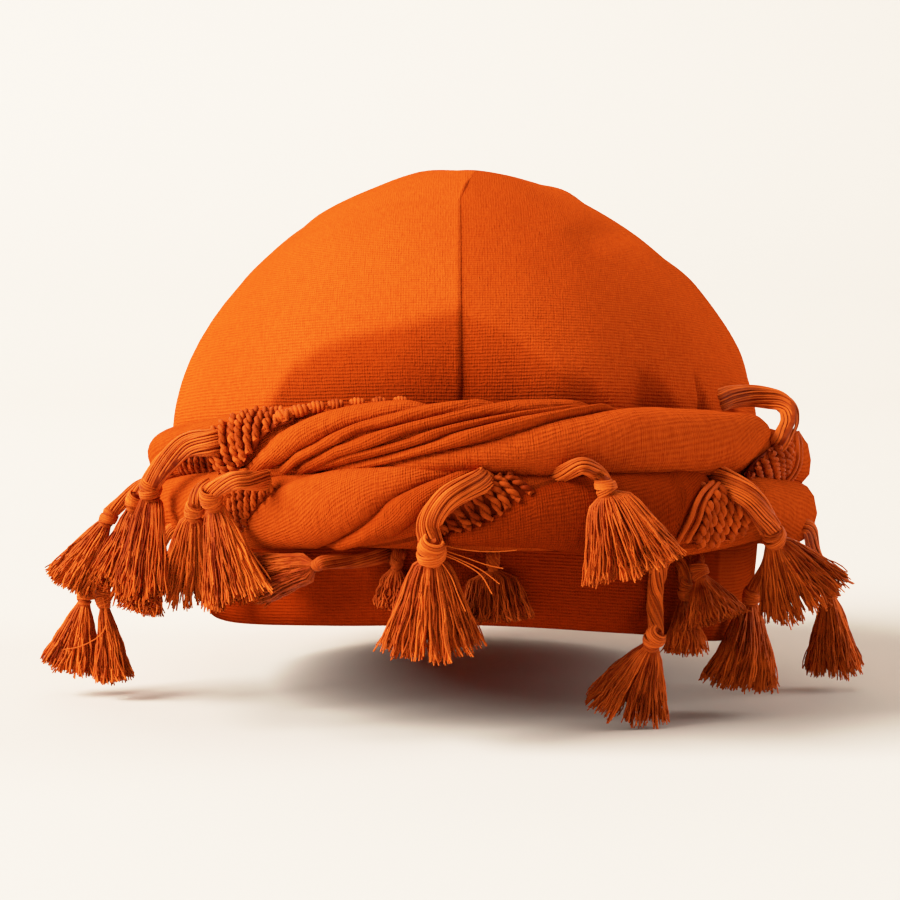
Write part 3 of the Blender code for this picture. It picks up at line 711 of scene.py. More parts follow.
def fold_strip(shape, seed, roll, lift, rows, shade):
    """One closed fold: a rounded top that follows its edges, and a hidden underside in the core."""
    first, last = rows[0][0], rows[-1][0]
    steps = max(FOLD_LEAST_STEPS, int((last - first) * FOLD_STEPS_PER_DEGREE))
    lines = []
    along = 0.0
    previous = None
    for step in range(steps + 1):
        angle = first + (last - first) * step / steps
        wander = angle * EDGE_WANDER_RATE
        low = edge_at(rows, angle, 1) + EDGE_WANDER * noise.noise(Vector((wander, seed * 3.7, 0.0)))
        high = edge_at(rows, angle, 2) + EDGE_WANDER * noise.noise(Vector((wander, seed * 3.7 + 1.3, 5.0)))
        centre, half = (low + high) / 2, (high - low) / 2
        ends = smooth((angle - first) / FOLD_TAPER) * smooth((last - angle) / FOLD_TAPER)
        middle = roll_surface(roll, angle, centre, 0.0)
        along += (middle - previous).length if previous is not None else 0.0
        previous = middle
        width = (roll_surface(roll, angle, high, 0.0) - roll_surface(roll, angle, low, 0.0)).length
        line = []
        for cell in range(FOLD_CELLS + 1):
            across = -cos(pi * cell / FOLD_CELLS)
            height = lift * MM * ends * fold_profile(across) + FOLD_EDGE * abs(across) ** 6
            streak = noise.noise(Vector((along * 28, across * width * 260 + seed * 9.1, seed)))
            streak += 0.5 * noise.noise(Vector((along * 75, across * width * 520, seed + 4.0)))
            height += STREAK_DEPTH * streak * ends * (1 - across**4)
            # Painted shade: the fold's shade from FOLD_SHADES and darker towards its edges where folds
            # meet, plus a little random tone for each fold
            tone = min(1.0, shade + 0.15 * (seed * 2.7 % 1.0) + 0.6 * across**8)
            spot = roll_surface(roll, angle, centre + half * across, height)
            line.append(shape.add(spot, along, across * width / 2, tone))
        for across in (0.6, -0.6):
            spot = roll_surface(roll, angle, centre + half * across, -FOLD_UNDER)
            line.append(shape.add(spot, along, across * width / 2, 1.0))
        lines.append(line)
    shape.close(lines)


def scarf_roll(name, roll, cad_node, material):
    """One wound roll: a core ring and all its folds, lying on each other."""
    shape = Shape()
    lines = []
    for column in range(CORE_COLUMNS):
        angle = -180.0 + 360.0 * column / CORE_COLUMNS
        along = 2 * pi * CORE_RADIUS * column / CORE_COLUMNS
        line = []
        for side in range(CORE_SIDES):
            turn = 360.0 * side / CORE_SIDES + CORE_TWIST * (angle + 180.0)
            across = CORE_GIRTH * side / CORE_SIDES
            line.append(shape.add(roll_surface(roll, angle, turn, 0.0), along, across, 0.5))
        lines.append(line)
    shape.grid(lines, closed_rows=True, closed_columns=True)
    for number, (fold, fold_roll, lift, rows) in enumerate((*FOLDS, *back_folds()), 1):
        if fold_roll == roll:
            fold_strip(shape, number * 0.37, roll, lift, rows, FOLD_SHADES.get(fold, 0.0))
    shape.make(name, material, cad_node, upright=True)


# Tassels

TASSELS = (
    # half width, cord points (across, up), knot, middle of the hem
    (6.0, ((-85.4, 34.5),), (-90, 27), (-95, 9)),
    (6.5, ((-22, 33), (-31, 31.5)), (-40, 31), (-60, 24)),
    (5.0, ((-18, 34),), (-19, 30.5), (-20, 18)),
    (9.0, ((7, 34),), (7, 30.5), (8, 15)),
    (6.0, ((60, 29),), (61, 21), (61, 2)),
    (9.0, ((64, 30),), (64.5, 26.5), (69, 12)),
    (9.0, ((99.6, 35), (104.5, 25)), (110, 13), (112, -15)),
    (11.0, ((86.6, 37), (86, 26)), (82.5, 16), (78, -12)),
    (11.5, ((53, 36), (52, 22)), (51.5, 9), (44, -15)),
    (9.0, ((-73, 49),), (-75.8, 43), (-79.5, 15)),
    (9.0, ((-58, 53.5), (-62, 53.8), (-66.5, 52)), (-69.5, 48), (-61.5, 18)),
    (8.9, ((-92.6, 38), (-103, 27)), (-113.5, 12.5), (-118.8, -12)),
    (5.6, ((-91.2, 39.5), (-99.5, 28)), (-107.3, 13), (-103.8, -14)),
    (7.5, ((-95, 46),), (-105, 37), (-118, 15)),
    (6.0, ((-87, 51), (-93, 47)), (-97, 42), (-104, 17.5)),
    (7.4, ((-70.5, 62.5), (-78, 61), (-85, 55)), (-90, 47), (-91, 16)),
    (13.0, ((4, 55), (-5, 51), (-10, 44)), (-9.5, 36), (-9.3, 7)),
    (13.2, ((24, 56), (30, 59), (34, 57)), (36.5, 53), (45, 29)),
    (13.4, ((69, 53), (77, 48.5), (82, 42)), (85.5, 36), (97.3, 14.6)),
)
KNOT_LENGTH = 4.6 * MM
NECK_PLACE = 0.75
THREAD = 0.29 * MM
CORD_SPACING = 0.50
CORD_SUNK = 5.5 * MM

# Skirts: threads to each mm of half width, clumps, and sizes as shares of the length or half width
THREADS_PER_MM = 42
CLUMPS = 22
CLUMP_PULL = 0.5
SKIRT_STEPS = 8
HEM_SPREAD = 1.14
SKIRT_WIDENING = 0.85
SKIRT_DEPTH = 0.55
SKIRT_CORE_LENGTH = 0.8
SKIRT_CORE_WIDTH = 0.64
WILD_SHARE = 0.03
LOOSENESS = 1.5 * MM

# Loose threads that stand off a tassel: number of the tassel, depth mm, then places (across, up)
STRAYS = (
    (13, -34.5, ((-107, 13), (-106, 8), (-106.5, 4), (-109, 1), (-114, -1.5), (-119.5, -2.5))),
    (17, -114, ((-8, 36.5), (-2, 34), (4, 31), (8.5, 27.5))),
    (17, -115, ((-8, 36), (-2, 33.5), (3.5, 30), (6.5, 25))),
    (17, -113, ((-8, 37), (-1, 34.6), (5, 32.5), (9.5, 31.5))),
    (17, -116, ((-8, 35), (-4.5, 30), (-2.5, 25), (-0.5, 20.5))),
    (17, -113, ((-8, 38), (0, 36.4), (7, 36.0), (13, 36.4))),
)
STRAY_STEPS = 20

# How each tassel is dressed, in the order of TASSELS
TASSEL_LOOKS = (
    # cord half width mm at its start and end, thickness share, twists, knot size,
    # spread at the neck, lightness
    (1.8, 1.5, 0.6, 0.5, 0.80, 0.22, 1.00),
    (2.0, 1.6, 0.6, 0.4, 0.60, 0.60, 0.40),
    (1.8, 1.6, 0.6, 0.5, 0.55, 0.70, 0.50),
    (1.8, 1.6, 0.6, 0.5, 0.50, 0.75, 0.50),
    (2.0, 1.6, 0.6, 0.5, 0.80, 0.28, 0.60),
    (2.0, 1.6, 0.6, 0.5, 0.90, 0.34, 0.50),
    (2.2, 1.6, 0.6, 0.5, 0.85, 0.26, 1.00),
    (2.4, 1.6, 0.6, 0.5, 0.95, 0.24, 0.85),
    (2.8, 1.5, 0.8, 1.6, 1.05, 0.24, 1.00),
    (2.6, 1.8, 0.6, 0.5, 0.95, 0.42, 1.00),
    (2.6, 2.0, 0.5, 0.4, 1.10, 0.30, 1.00),
    (2.4, 1.6, 0.6, 0.6, 0.90, 0.22, 1.00),
    (2.2, 1.6, 0.6, 0.6, 0.90, 0.24, 1.00),
    (2.4, 1.7, 0.6, 0.5, 0.90, 0.30, 1.00),
    (2.4, 1.7, 0.6, 0.5, 0.90, 0.30, 1.00),
    (3.8, 2.6, 0.5, 0.3, 1.15, 0.44, 1.00),
    (3.2, 3.0, 0.6, 0.4, 1.35, 0.38, 1.00),
    (2.2, 1.8, 0.6, 0.4, 1.00, 0.44, 1.00),
    (3.4, 2.8, 0.6, 0.4, 1.20, 0.30, 1.00),
)


def cad_tree(name):
    """Search tree of a CAD node."""
    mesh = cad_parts[name].data
    return BVHTree.FromPolygons([tuple(vertex.co) for vertex in mesh.vertices],
                                [tuple(face.vertices) for face in mesh.polygons])


def inside(tree, spot, fallback):
    """Place in the middle of a CAD tassel's depth, behind a spot (across, up) of the front view."""
    x, z = spot
    for nudge in (0.0, 0.4, -0.4, 0.9, -0.9):
        front = tree.ray_cast(Vector((x + nudge * MM, -0.4, z)), Vector((0, 1, 0)))[0]
        if front is None:
            continue
        back = tree.ray_cast(Vector((x + nudge * MM, 0.4, z)), Vector((0, -1, 0)))[0]
        return Vector((x, (front.y + back.y) / 2, z))
    return Vector((x, tree.find_nearest(Vector((x, fallback, z)))[0].y, z))


def tassel(name, number, row, looks, cad_node, material):
    """One tassel: a flat cord of threads, a wound knot and a skirt of cut threads."""
    half_width, cord, knot, hem = row
    cord_start, cord_end, cord_thick, twists, knot_size, neck_share, lightness = looks
    rng = random.Random(number)
    tree = cad_tree(cad_node)
    knot_at, hem_at = Vector(knot) * MM, Vector(hem) * MM
    down = (hem_at - knot_at).normalized()
    neck = knot_at + down * KNOT_LENGTH * NECK_PLACE
    spots = [Vector(place) * MM for place in cord] + [knot_at - down * KNOT_LENGTH * 0.4, knot_at, neck]
    spots[0] = between(spots[0], spots[1], 0.04)
    low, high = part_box(cad_node)
    depth = (low.y + high.y) / 2
    places = []
    for spot in spots:
        places.append(inside(tree, spot, depth))
        depth = places[-1].y
    shape = Shape()
    inward = Vector((-places[0].x, -places[0].y, 0.0)).normalized()
    sunk = places[0] + inward * CORD_SUNK + (places[0] - places[1]).normalized() * CORD_SUNK * 0.3
    bundle(shape, [sunk] + places[:-1], cord_start, cord_end, cord_thick, twists, rng)
    wound_knot(shape, places[-2], places[-1], knot_size, rng)
    centre = [places[-1]] + [inside(tree, between(neck, hem_at, share), depth) for share in (0.5, 0.94)]
    skirt(shape, centre, half_width * MM, neck_share, rng)
    for stray_of, deep, line in STRAYS:
        if stray_of == number:
            path = curve([Vector((across, deep, up)) * MM for across, up in line], STRAY_STEPS)
            shape.tube(path, [THREAD * 0.55] * STRAY_STEPS + [THREAD * 0.45], 5, 0.9)
    shape.weave = [(along, around, tone * lightness) for along, around, tone in shape.weave]
    shape.make(name, material, cad_node)


def cross_axes(run):
    """Unit directions across a run: in the front view, and towards the back."""
    side = run.cross(Vector((0, 1, 0)))
    side = side.normalized() if side.length > 1e-9 else Vector((1, 0, 0))
    return side, side.cross(run).normalized()


def bundle(shape, places, half_start, half_end, thick, twists, rng):
    """A bundle of threads along a path, laid round a dark filler and slowly twisted; the filler is painted
    shade between the threads.
    """
    steps = 7 * len(places)
    line = curve(places, steps)
    halves = [between(half_start, half_end, k / steps) * MM for k in range(steps + 1)]
    side, back = cross_axes(line[1] - line[0])
    # The filler is painted shade: it darkens the gaps between the threads
    shape.tube(line, [half * 0.86 for half in halves], 10, 0.05, flat=thick, sideways=side)
    around = 2 * pi * (half_start + half_end) / 2 * ((1 + thick**2) / 2) ** 0.5
    count = int(around / CORD_SPACING)
    for number in range(count):
        start = 2 * pi * number / count + rng.uniform(-0.1, 0.1)
        phase = rng.uniform(0, 2 * pi)
        tone = min(1.0, max(0.1, rng.gauss(0.55, 0.2)))
        path = []
        for k, point in enumerate(line):
            t = k / steps
            side, back = cross_axes(line[min(steps, k + 1)] - line[max(0, k - 1)])
            turn = start + 2 * pi * twists * t
            reach = halves[k] * (0.95 + 0.08 * sin(phase + 9 * t))
            path.append(point + side * reach * cos(turn) + back * (reach * thick * sin(turn)))
        shape.tube(path, THREAD, 5, tone)


def coil(shape, start, end, side, back, radii, turns, thread, tone, lean=0.0, flat=0.85):
    """Turns of thread wound round an axis from start to end; radii is the size along it."""
    steps = int(12 * turns)
    run = (end - start).normalized()
    sizes = [Vector((radius, 0, 0)) for radius in radii]
    path = []
    tones = []
    for k in range(steps + 1):
        t = k / steps
        turn = 2 * pi * turns * t
        size = through(sizes, t).x
        path.append(between(start, end, t) + side * size * cos(turn) + back * size * flat * sin(turn)
                    + run * lean * cos(turn))
        tones.append(tone + 0.2 * sin(2.3 * turn + 17 * tone))
    shape.tube(path, thread, 6, tones)


# Core of a wound knot: place along it, radius
KNOT_CORE = ((-3.2, 1.1), (-1.8, 2.0), (0.0, 2.3), (1.8, 2.0), (3.8, 1.5))

# Bands of a wound knot
KNOT_BANDS = (
    # start, end, sizes, turns, lean
    (-2.4, -0.5, (1.7, 2.5, 2.6), 4.2, 0.5),
    (-0.5, 1.7, (2.6, 2.6, 2.3), 4.6, -0.5),
    (1.7, 3.6, (2.2, 1.9, 1.9), 4.4, 0.25),
)
KNOT_THREAD = 0.30


def wound_knot(shape, knot, neck, size, rng):
    """A wound knot: bands of thread round a plump core, with threads laid slantwise over it."""
    run = (neck - knot).normalized()
    side, back = cross_axes(run)
    mm = size * MM
    core = [knot + run * along * mm for along, _ in KNOT_CORE]
    # The core is dark: painted shade that shows between the bands of thread
    shape.tube(core, [radius * mm for _, radius in KNOT_CORE], 12, 0.1, flat=0.85)
    for start, end, sizes, turns, lean in KNOT_BANDS:
        coil(shape, knot + run * start * mm, knot + run * end * mm, side, back,
             [wide * mm for wide in sizes], turns, KNOT_THREAD * mm, rng.uniform(0.25, 0.65),
             lean * mm * rng.uniform(0.6, 1.3))
    for _ in range(3):
        first = rng.uniform(-2.4, 0.4)
        climb = rng.choice((-1, 1)) * rng.uniform(1.5, 3.0)
        for strand in range(3):
            path = []
            for k in range(13):
                t = k / 12
                turn = pi * (-0.1 + 1.2 * t)
                along = first + climb * t + 0.62 * strand
                bulge = 1.0 - 0.03 * along**2
                path.append(knot + run * along * mm + side * (2.75 * mm * bulge * cos(turn))
                            - back * (2.45 * mm * bulge * sin(turn)))
            shape.tube(path, KNOT_THREAD * mm, 5, rng.uniform(0.35, 0.9))


def skirt(shape, centre, half_width, neck_share, rng):
    """Fine threads that leave the knot, fan out in loose clumps and end in a ragged hem."""
    run = centre[-1] - centre[0]
    length = run.length
    run.normalize()
    side, back = cross_axes(run)
    # A dark core in the skirt: painted shade that shows between the threads
    core = [k / 6 * SKIRT_CORE_LENGTH for k in range(7)]
    widths = [half_width * between(neck_share, 1, t**SKIRT_WIDENING) for t in core]
    shape.tube([through(centre, t) for t in core], [SKIRT_CORE_WIDTH * wide for wide in widths],
               12, 0.2, 0.45, side)
    clumps = [(rng.gauss(0, 0.05), rng.gauss(0, 0.05), rng.gauss(0.52, 0.16), rng.uniform(-0.07, 0.03))
              for _ in range(CLUMPS)]
    for _ in range(int(THREADS_PER_MM * half_width / MM)):
        turn = rng.uniform(0, 2 * pi)
        clump = int(turn / (2 * pi) * CLUMPS)
        middle = (clump + 0.5) * 2 * pi / CLUMPS
        bend, swing, shade, longer = clumps[clump]
        reach = rng.uniform(0.15, 1.0) ** 0.5
        shade += rng.gauss(0, 0.2)
        long = 1.0 + longer + rng.uniform(-0.06, 0.04) - 0.08 * (reach * cos(turn)) ** 2
        wild = rng.random() < WILD_SHARE
        bend += rng.uniform(-0.25, 0.25) if wild else rng.uniform(-0.03, 0.03)
        noise_at = rng.uniform(0, 100)
        path = [centre[0] - run * 2.4 * MM + side * 1.3 * MM * cos(turn) + back * 1.0 * MM * sin(turn)]
        # The point under the knot is darker: painted shade
        tones = [max(0.0, shade - 0.25)]
        for k in range(SKIRT_STEPS + 1):
            t = k / SKIRT_STEPS * long
            at = through(centre, min(1.0, t)) + run * max(0.0, t - 1.0) * length
            turned = turn + (middle - turn) * CLUMP_PULL * t
            wide = half_width * between(neck_share, HEM_SPREAD, t**SKIRT_WIDENING)
            curl = noise.noise(Vector((noise_at, 3.5 * t, 0.0)))
            curl_back = noise.noise(Vector((noise_at + 40, 5.0 * t, 3.0)))
            loose = LOOSENESS * (0.25 + 0.75 * t)
            out = wide * (reach * cos(turned) + bend * t * t) + loose * curl
            deep = SKIRT_DEPTH * wide * (reach * sin(turned) + swing * t) + loose * curl_back
            path.append(at + side * out + back * deep)
            # Darker towards the knot: painted shade under the knot and among the packed threads; the cut
            # tips are paler
            tone = shade + 0.25 * curl - 0.2 * (1 - t) + 0.35 * smooth((t - 0.8) / 0.2)
            tones.append(min(1.0, max(0.0, tone)))
        shape.tube(path, [THREAD * 0.85] * (SKIRT_STEPS + 1) + [THREAD * 0.7], 3, tones)


# Knotted border

# Nets of the border, placed by angle and turn: chains of knots hang from each net's upper edge
NETS = (
    # patch, roll, lift, chains, knot length, cord radius mm, lowest tone (low where a net lies in shade:
    # painted shade), upper edge, lower edge
    (1, "upper", 2.8, 10, 2.7, 1.25, 0.3,
     ((-45, 18), (-43, 32), (-40, 52), (-37, 70), (-33, 70), (-30, 60), (-27, 48)),
     ((-44, -40), (-42, -54), (-38, -34), (-36, -18), (-33, 4), (-30, 22), (-27, 32))),
    (1, "upper", 1.0, 8, 2.4, 0.85, 0.05,
     ((-59, -36), (-56, -14), (-51, 0), (-47, 4), (-43, -4)),
     ((-61, -74), (-58, -80), (-54, -86), (-50, -90), (-45, -92))),
    (2, "upper", 2.4, 8, 2.6, 1.30, 0.25,
     ((49, -50), (50, -22), (53, -4), (57, 6), (60, 14), (62.5, 22)),
     ((54, -94), (58, -86), (60.5, -66), (61.5, -42), (62, -18), (62.5, 4))),
    (3, "lower", 2.4, 7, 2.3, 1.00, 0.2,
     ((-41, 4), (-39, 18), (-36, 26), (-33, 30), (-31, 24)),
     ((-42, -22), (-39, -32), (-37, -12), (-34, 4), (-31, 18))),
    (4, "lower", 1.7, 9, 3.2, 1.35, 0.0,
     ((-6, -16), (-4, 2), (-2, 20), (0.5, 34), (3, 43), (6, 46)),
     ((-5, -27), (-2, -22), (0.8, -14), (3.4, -4), (5.8, 6), (9, 22))),
    (5, "lower", 3.2, 6, 3.0, 1.55, 0.3,
     ((35, 2), (37, 16), (39, 26), (41, 29), (43, 23), (44.5, 8)),
     ((34, -26), (35, -44), (37, -44), (39, -40), (42, -32), (44.5, -20))),
)

# Single rows of knots along a fold's edge
KNOT_ROWS = (
    # patch, roll, lift, knots, half length mm at its start and end, radius mm at its start and end, places
    (1, "upper", 2.0, 7, 3.0, 1.7, 1.9, 1.1,
     ((-30, 36), (-27.5, 52), (-24.5, 66), (-21, 75), (-17, 81), (-13, 85), (-9, 88))),
    (5, "lower", 1.2, 9, 1.4, 1.4, 1.0, 1.1,
     ((24, 34), (28, 36), (31, 34), (35, 34), (39, 36))),
)

# Cords laid along the border's edges
BORDER_CORDS = (
    # patch, roll, lift, radius mm, places
    (2, "upper", 3.2, 0.55, (
        (54.5, -96), (59, -88), (62, -68), (63, -44), (64, -18), (65, 8), (67, 30))),
    (2, "upper", 3.4, 0.50, (
        (56, -97), (60.5, -88), (63.8, -66), (64.8, -44), (65.8, -16), (67, 12), (69.5, 34))),
    (5, "lower", 3.0, 0.75, ((39, 32), (36.5, 18), (34.8, 4), (33.8, -10), (33.0, -24), (32.6, -36))),
    (5, "lower", 2.8, 0.70, ((38, 35), (35.2, 20), (33.4, 4), (32.2, -10), (31.4, -24), (31, -38))),
)


BORDER_PATCHES = 5
BORDER_SEED = 40
NET_STEPS = 6
CORD_STEPS = 30
# Slab of painted shade under each net: steps along, cells across, thickness
SHADE_SLAB_STEPS = 24
SHADE_SLAB_CELLS = 8
SHADE_SLAB_THICKNESS = 0.5
KNOTLET_TURNS = 3.4

# Barrel in a knot of the border: place along it and radius, as shares of its half length and radius
BARREL = ((-0.9, 0.4), (-0.45, 0.78), (0.0, 0.85), (0.45, 0.78), (0.9, 0.4))

# Cords of a net: steps and turns to a knot, size between knots, place and radius of a strand
KNOT_STEPS = 9
KNOT_WRAPS = 0.6
CORD_THIN = 0.66
STRAND_PLACE = 0.48
STRAND_RADIUS = 0.56


def on_roll(roll, angle, turn, lift):
    """Place above a roll in the finished hat, and the direction away from the roll."""
    bottom, top, reach = roll_limits(roll, angle)
    core = cap_point(angle, (bottom + top) / 2, reach * ROLL_SEAT)
    spot = roll_surface(roll, angle, turn, lift * MM)
    return TO_WORLD @ spot, (TO_WORLD @ spot - TO_WORLD @ core).normalized()


def along_places(places, share):
    """Angle and turn on a smooth line through the places."""
    return through([Vector(place) for place in places], share)


def knotlet(shape, middle, run, away, half_length, radius, tone):
    """One knot of the border: cord wound slantwise round a small barrel."""
    run = run.normalized()
    side = run.cross(away).normalized()
    back = side.cross(run).normalized()
    body = [middle + run * half_length * place for place, _ in BARREL]
    # The barrel is darker than its coil: painted shade between the turns
    shape.tube(body, [radius * share for _, share in BARREL], 8, tone * 0.5)
    reach = run * half_length * 0.75
    sizes = [radius * share for share in (0.5, 0.85, 0.5)]
    coil(shape, middle - reach, middle + reach, side, back, sizes, KNOTLET_TURNS, radius * 0.40,
         tone, radius * 0.45, 0.9)


def net(shape, rng, roll, lift, chains, knot_length, radius, low_tone, upper, lower):
    """Chains of knots over a dark slab of painted shade."""
    # The slab is painted shade under the chains
    shade_slab(shape, roll, lift - radius * 0.8, upper, lower)
    for chain in range(chains):
        share = (chain + 0.5) / chains
        start, end = along_places(upper, share), along_places(lower, share)
        spots = []
        for step in range(NET_STEPS + 1):
            t = step / NET_STEPS
            angle, turn = between(start, end, t)
            spots.append(on_roll(roll, angle + 0.10 * sin(2.1 * chain + 5 * t), turn, lift))
        knotted_cord(shape, spots, radius * MM * rng.uniform(0.94, 1.06), knot_length * MM, low_tone, rng)


def knotted_cord(shape, spots, radius, knot_length, low_tone, rng):
    """A cord of two strands wound round each other, thick at each knot and thin between them."""
    places, aways = zip(*spots)
    reach = sum((after - here).length for here, after in zip(places, places[1:]))
    knots = max(1, round(reach / knot_length))
    steps = KNOT_STEPS * knots
    line = curve(places, steps)
    tones = [rng.uniform(low_tone, low_tone + 0.5) for _ in range(knots + 1)]
    start = rng.uniform(0, pi)
    slip = rng.uniform(0, 0.4)
    swell = [CORD_THIN + (1 - CORD_THIN) * abs(sin(pi * (k / KNOT_STEPS + slip))) ** 0.7
             for k in range(steps + 1)]
    # Painted shade: darker where the cord is thin between knots; each knot also has its own random tone
    shades = [tones[min(knots, int(k / KNOT_STEPS + slip))] * (0.4 + 0.6 * size)
              for k, size in enumerate(swell)]
    for strand in (0, 1):
        path = []
        for k, point in enumerate(line):
            run = (line[min(steps, k + 1)] - line[max(0, k - 1)]).normalized()
            side = run.cross(through(aways, k / steps)).normalized()
            turn = start + pi * strand + 2 * pi * KNOT_WRAPS * k / KNOT_STEPS
            offset = radius * STRAND_PLACE * swell[k]
            path.append(point + (side * cos(turn) + side.cross(run) * sin(turn)) * offset)
        shape.tube(path, [STRAND_RADIUS * radius * size for size in swell], 8, shades)


def shade_slab(shape, roll, lift, upper, lower):
    """A thin dark slab under a net's chains: painted shade that shows through the net's openings."""
    lines = []
    for step in range(SHADE_SLAB_STEPS + 1):
        start, end = (along_places(edge, step / SHADE_SLAB_STEPS) for edge in (upper, lower))
        cells = range(SHADE_SLAB_CELLS + 1)
        line = []
        for depth, order in ((0.0, cells), (SHADE_SLAB_THICKNESS, reversed(cells))):
            for k in order:
                spot = on_roll(roll, *between(start, end, k / SHADE_SLAB_CELLS), lift - depth)[0]
                line.append(shape.add(spot, 0.0, 0.0, 0.0))
        lines.append(line)
    shape.close(lines)


def knot_row(shape, rng, roll, lift, count, first_half, last_half, first_radius, last_radius, places):
    """Knots end to end along a fold's edge."""
    for number in range(count):
        t = (number + 0.5) / count
        spot, away = on_roll(roll, *along_places(places, t), lift)
        before, after = (on_roll(roll, *along_places(places, t + nudge / count), lift)[0]
                         for nudge in (-0.3, 0.3))
        knotlet(shape, spot, after - before, away, between(first_half, last_half, t) * MM,
                between(first_radius, last_radius, t) * MM, rng.uniform(0.3, 0.7))


def border(name, number, cad_node, material):
    """One piece of the knotted border: its nets, rows of knots and edge cords."""
    rng = random.Random(BORDER_SEED + number)
    shape = Shape()
    for patch, *row in NETS:
        if patch == number:
            net(shape, rng, *row)
    for patch, *row in KNOT_ROWS:
        if patch == number:
            knot_row(shape, rng, *row)
    for patch, roll, lift, radius, places in BORDER_CORDS:
        if patch == number:
            path = [on_roll(roll, *along_places(places, k / CORD_STEPS), lift)[0]
                    for k in range(CORD_STEPS + 1)]
            shape.tube(path, radius * MM, 7, 0.6)
    shape.make(name, material, cad_node)


# Loop of threads

# Places on the loop; the first and the last are hidden in the folds
LOOP_POINTS = (
    (66, -42, 71), (71, -53, 72), (76, -50, 73.2), (81.6, -46, 73.4), (86.6, -45, 72.8),
    (90.7, -46, 71.8), (92.9, -49, 69.6), (92.8, -52, 66.5), (91, -55, 63.4), (88.8, -57, 60.2),
    (85, -52, 56),
)
LOOP_HALF_WIDTHS = (3.3, 2.2)
LOOP_THICKNESS = 0.45
LOOP_TWISTS = 0.4
LOOP_SEED = 77


def thread_loop(name, cad_node, material):
    """The loop at the upper right: a flat bundle of threads."""
    shape = Shape()
    places = [Vector(place) * MM for place in LOOP_POINTS]
    bundle(shape, places, *LOOP_HALF_WIDTHS, LOOP_THICKNESS, LOOP_TWISTS, random.Random(LOOP_SEED))
    shape.make(name, material, cad_node)


# Light, floor and camera

LIGHTS = (
    # name, place, target, size, power, colour
    ("key", (-2.9, -1.1, 2.1), (0.0, 0.0, 0.05), 2.4, 490.0, (1.0, 0.97, 0.93)),
    ("top", (0.2, -0.6, 2.8), (0.0, 0.0, 0.05), 2.8, 30.0, (1.0, 0.98, 0.95)),
    ("right", (2.6, 0.2, 1.3), (0.0, 0.0, 0.05), 1.6, 58.0, (1.0, 0.97, 0.94)),
    ("wash", (0.0, 0.9, 2.2), (0.0, 2.6, 1.6), 1.6, 42.0, (1.0, 0.97, 0.93)),
)
WORLD_LIGHT = 0.085
WORLD_COLOUR = (1.0, 0.94, 0.87, 1.0)
FLOOR_COLOUR = (0.66, 0.58, 0.50)
FLOOR_HALF_WIDTH = 4
FLOOR_SECTION = (
    # depth, height above the floor's level
    (-2.5, 0), (-1, 0), (0, 0), (1.4, 0), (2.0, 0.08), (2.4, 0.4), (2.6, 1.0), (2.6, 4.0),
)
CAMERA_PLACE = (-4.6 * MM, -800 * MM, 117 * MM)
CAMERA_PITCH = 85.5
CAMERA_LENS = 104.6

# Tone curve: light in the scene against how light it shows
TONE_WHITE = 3.0
TONE_POINTS = ((0.25, 0.25), (0.5, 0.48), (0.8, 0.69), (1.2, 0.84), (1.7, 0.935), (2.3, 0.98))


def add_floor():
    """A pale floor that curves up into a plain backdrop."""
    shape = Shape()
    shape.grid([[shape.add((x, y, z + FLOOR_LEVEL)) for x in (FLOOR_HALF_WIDTH, 0, -FLOOR_HALF_WIDTH)]
                for y, z in FLOOR_SECTION])
    looks = Looks("floor_paper", 0.95, 0.1, (1.0, 1.0, 1.0))
    looks.feed(looks.shader.inputs["Base Color"], FLOOR_COLOUR)
    floor = placed("floor", shape.mesh("floor", looks.material))


def add_light(name, place, target, size, power, colour):
    """A square soft light that faces a point."""
    data = bpy.data.lights.new(name, "AREA")
    data.size = size
    data.energy = power
    data.color = colour
    lamp = placed(name, data)
    lamp.location = place
    lamp.rotation_euler = (Vector(target) - Vector(place)).to_track_quat("-Z", "Y").to_euler()


def add_world():
    """Soft light from all round."""
    world = bpy.data.worlds.new("room")
    bpy.context.scene.world = world
    world.use_nodes = True
    background = world.node_tree.nodes["Background"]
    background.inputs["Color"].default_value = WORLD_COLOUR
    background.inputs["Strength"].default_value = WORLD_LIGHT


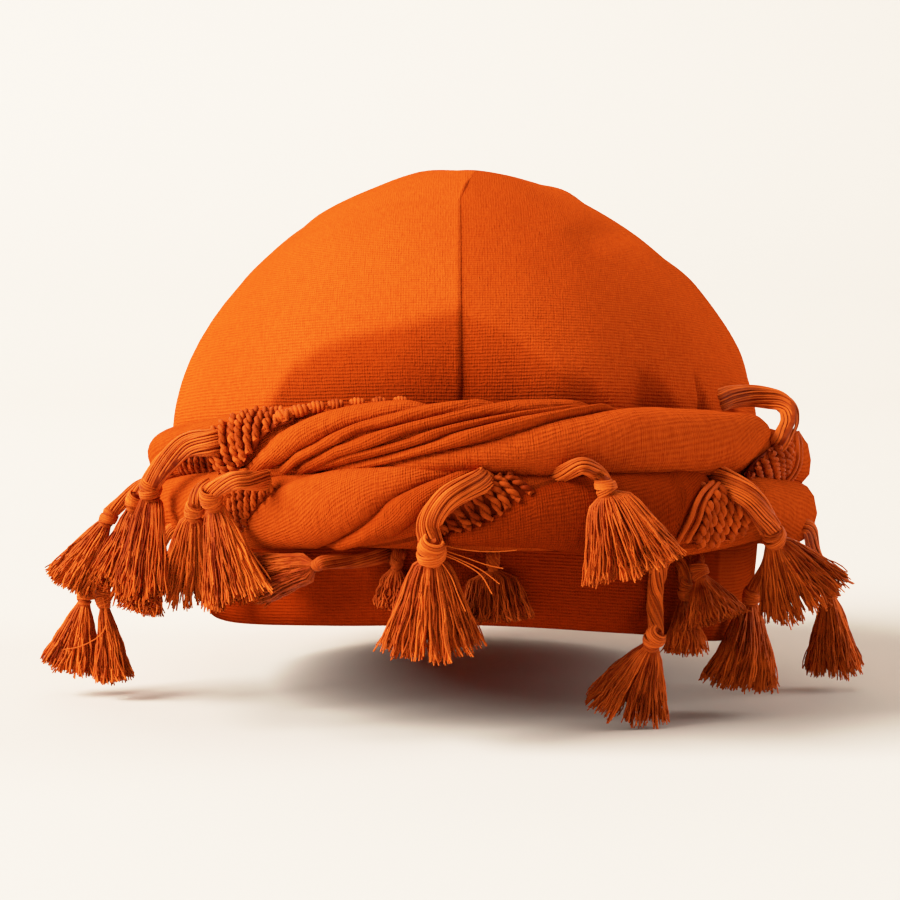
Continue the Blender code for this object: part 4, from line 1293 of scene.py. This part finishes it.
def add_camera():
    """The camera of the photo."""
    data = bpy.data.cameras.new("photo_view")
    data.lens = CAMERA_LENS
    data.sensor_width = 36.0
    data.clip_start = 0.01
    camera = placed("photo_view", data)
    camera.location = CAMERA_PLACE
    camera.rotation_euler = (radians(CAMERA_PITCH), 0.0, 0.0)
    bpy.context.scene.camera = camera


def photo_curve():
    """The tone curve of a photograph: straight in the shade and easing off towards white."""
    settings = bpy.context.scene.view_settings
    settings.view_transform = "Standard"
    settings.use_curve_mapping = True
    mapping = settings.curve_mapping
    mapping.white_level = (TONE_WHITE,) * 3
    curve = mapping.curves[3]
    for light, shown in TONE_POINTS:
        curve.points.new(light / TONE_WHITE, shown)
    mapping.update()


CLOTHS = {
    # name: light colour, dark colour, rib and thread pitch mm, bump mm, share of the ribs
    "crown_weave": ((0.62, 0.074, 0.0066), (0.30, 0.020, 0.0014), 0.9, 0.8, 0.20, 0.75),
    "scarf_weave": ((0.56, 0.066, 0.0060), (0.20, 0.013, 0.0010), 0.62, 0.66, 0.24, 0.55),
}
THREADS = {
    # name: light colour, dark colour, gloss, bump mm
    "fringe": ((0.78, 0.120, 0.012), (0.15, 0.010, 0.0006), 0.10, 0.03),
    "border_cord": ((0.62, 0.080, 0.007), (0.12, 0.008, 0.0005), 0.06, 0.05),
}


def build():
    """Dress every CAD node and set the stage."""
    crown, scarf = (cloth(name, *values) for name, values in CLOTHS.items())
    thread, cord = (threads(name, *values) for name, values in THREADS.items())
    crown_panel("crown_cloth_left", -1, "crown_panel_left", crown)
    crown_panel("crown_cloth_right", 1, "crown_panel_right", crown)
    scarf_roll("scarf_upper", "upper", "scarf_roll_upper", scarf)
    scarf_roll("scarf_lower", "lower", "scarf_roll_lower", scarf)
    for number, (row, looks) in enumerate(zip(TASSELS, TASSEL_LOOKS), 1):
        tassel("fringe_tassel_%02d" % number, number, row, looks, "tassel_%02d" % number, thread)
    for number in range(1, BORDER_PATCHES + 1):
        border("border_knots_%02d" % number, number, "border_patch_%02d" % number, cord)
    thread_loop("fringe_loop", "thread_loop", thread)
    add_floor()
    add_world()
    for light in LIGHTS:
        add_light(*light)
    add_camera()
    photo_curve()


build()
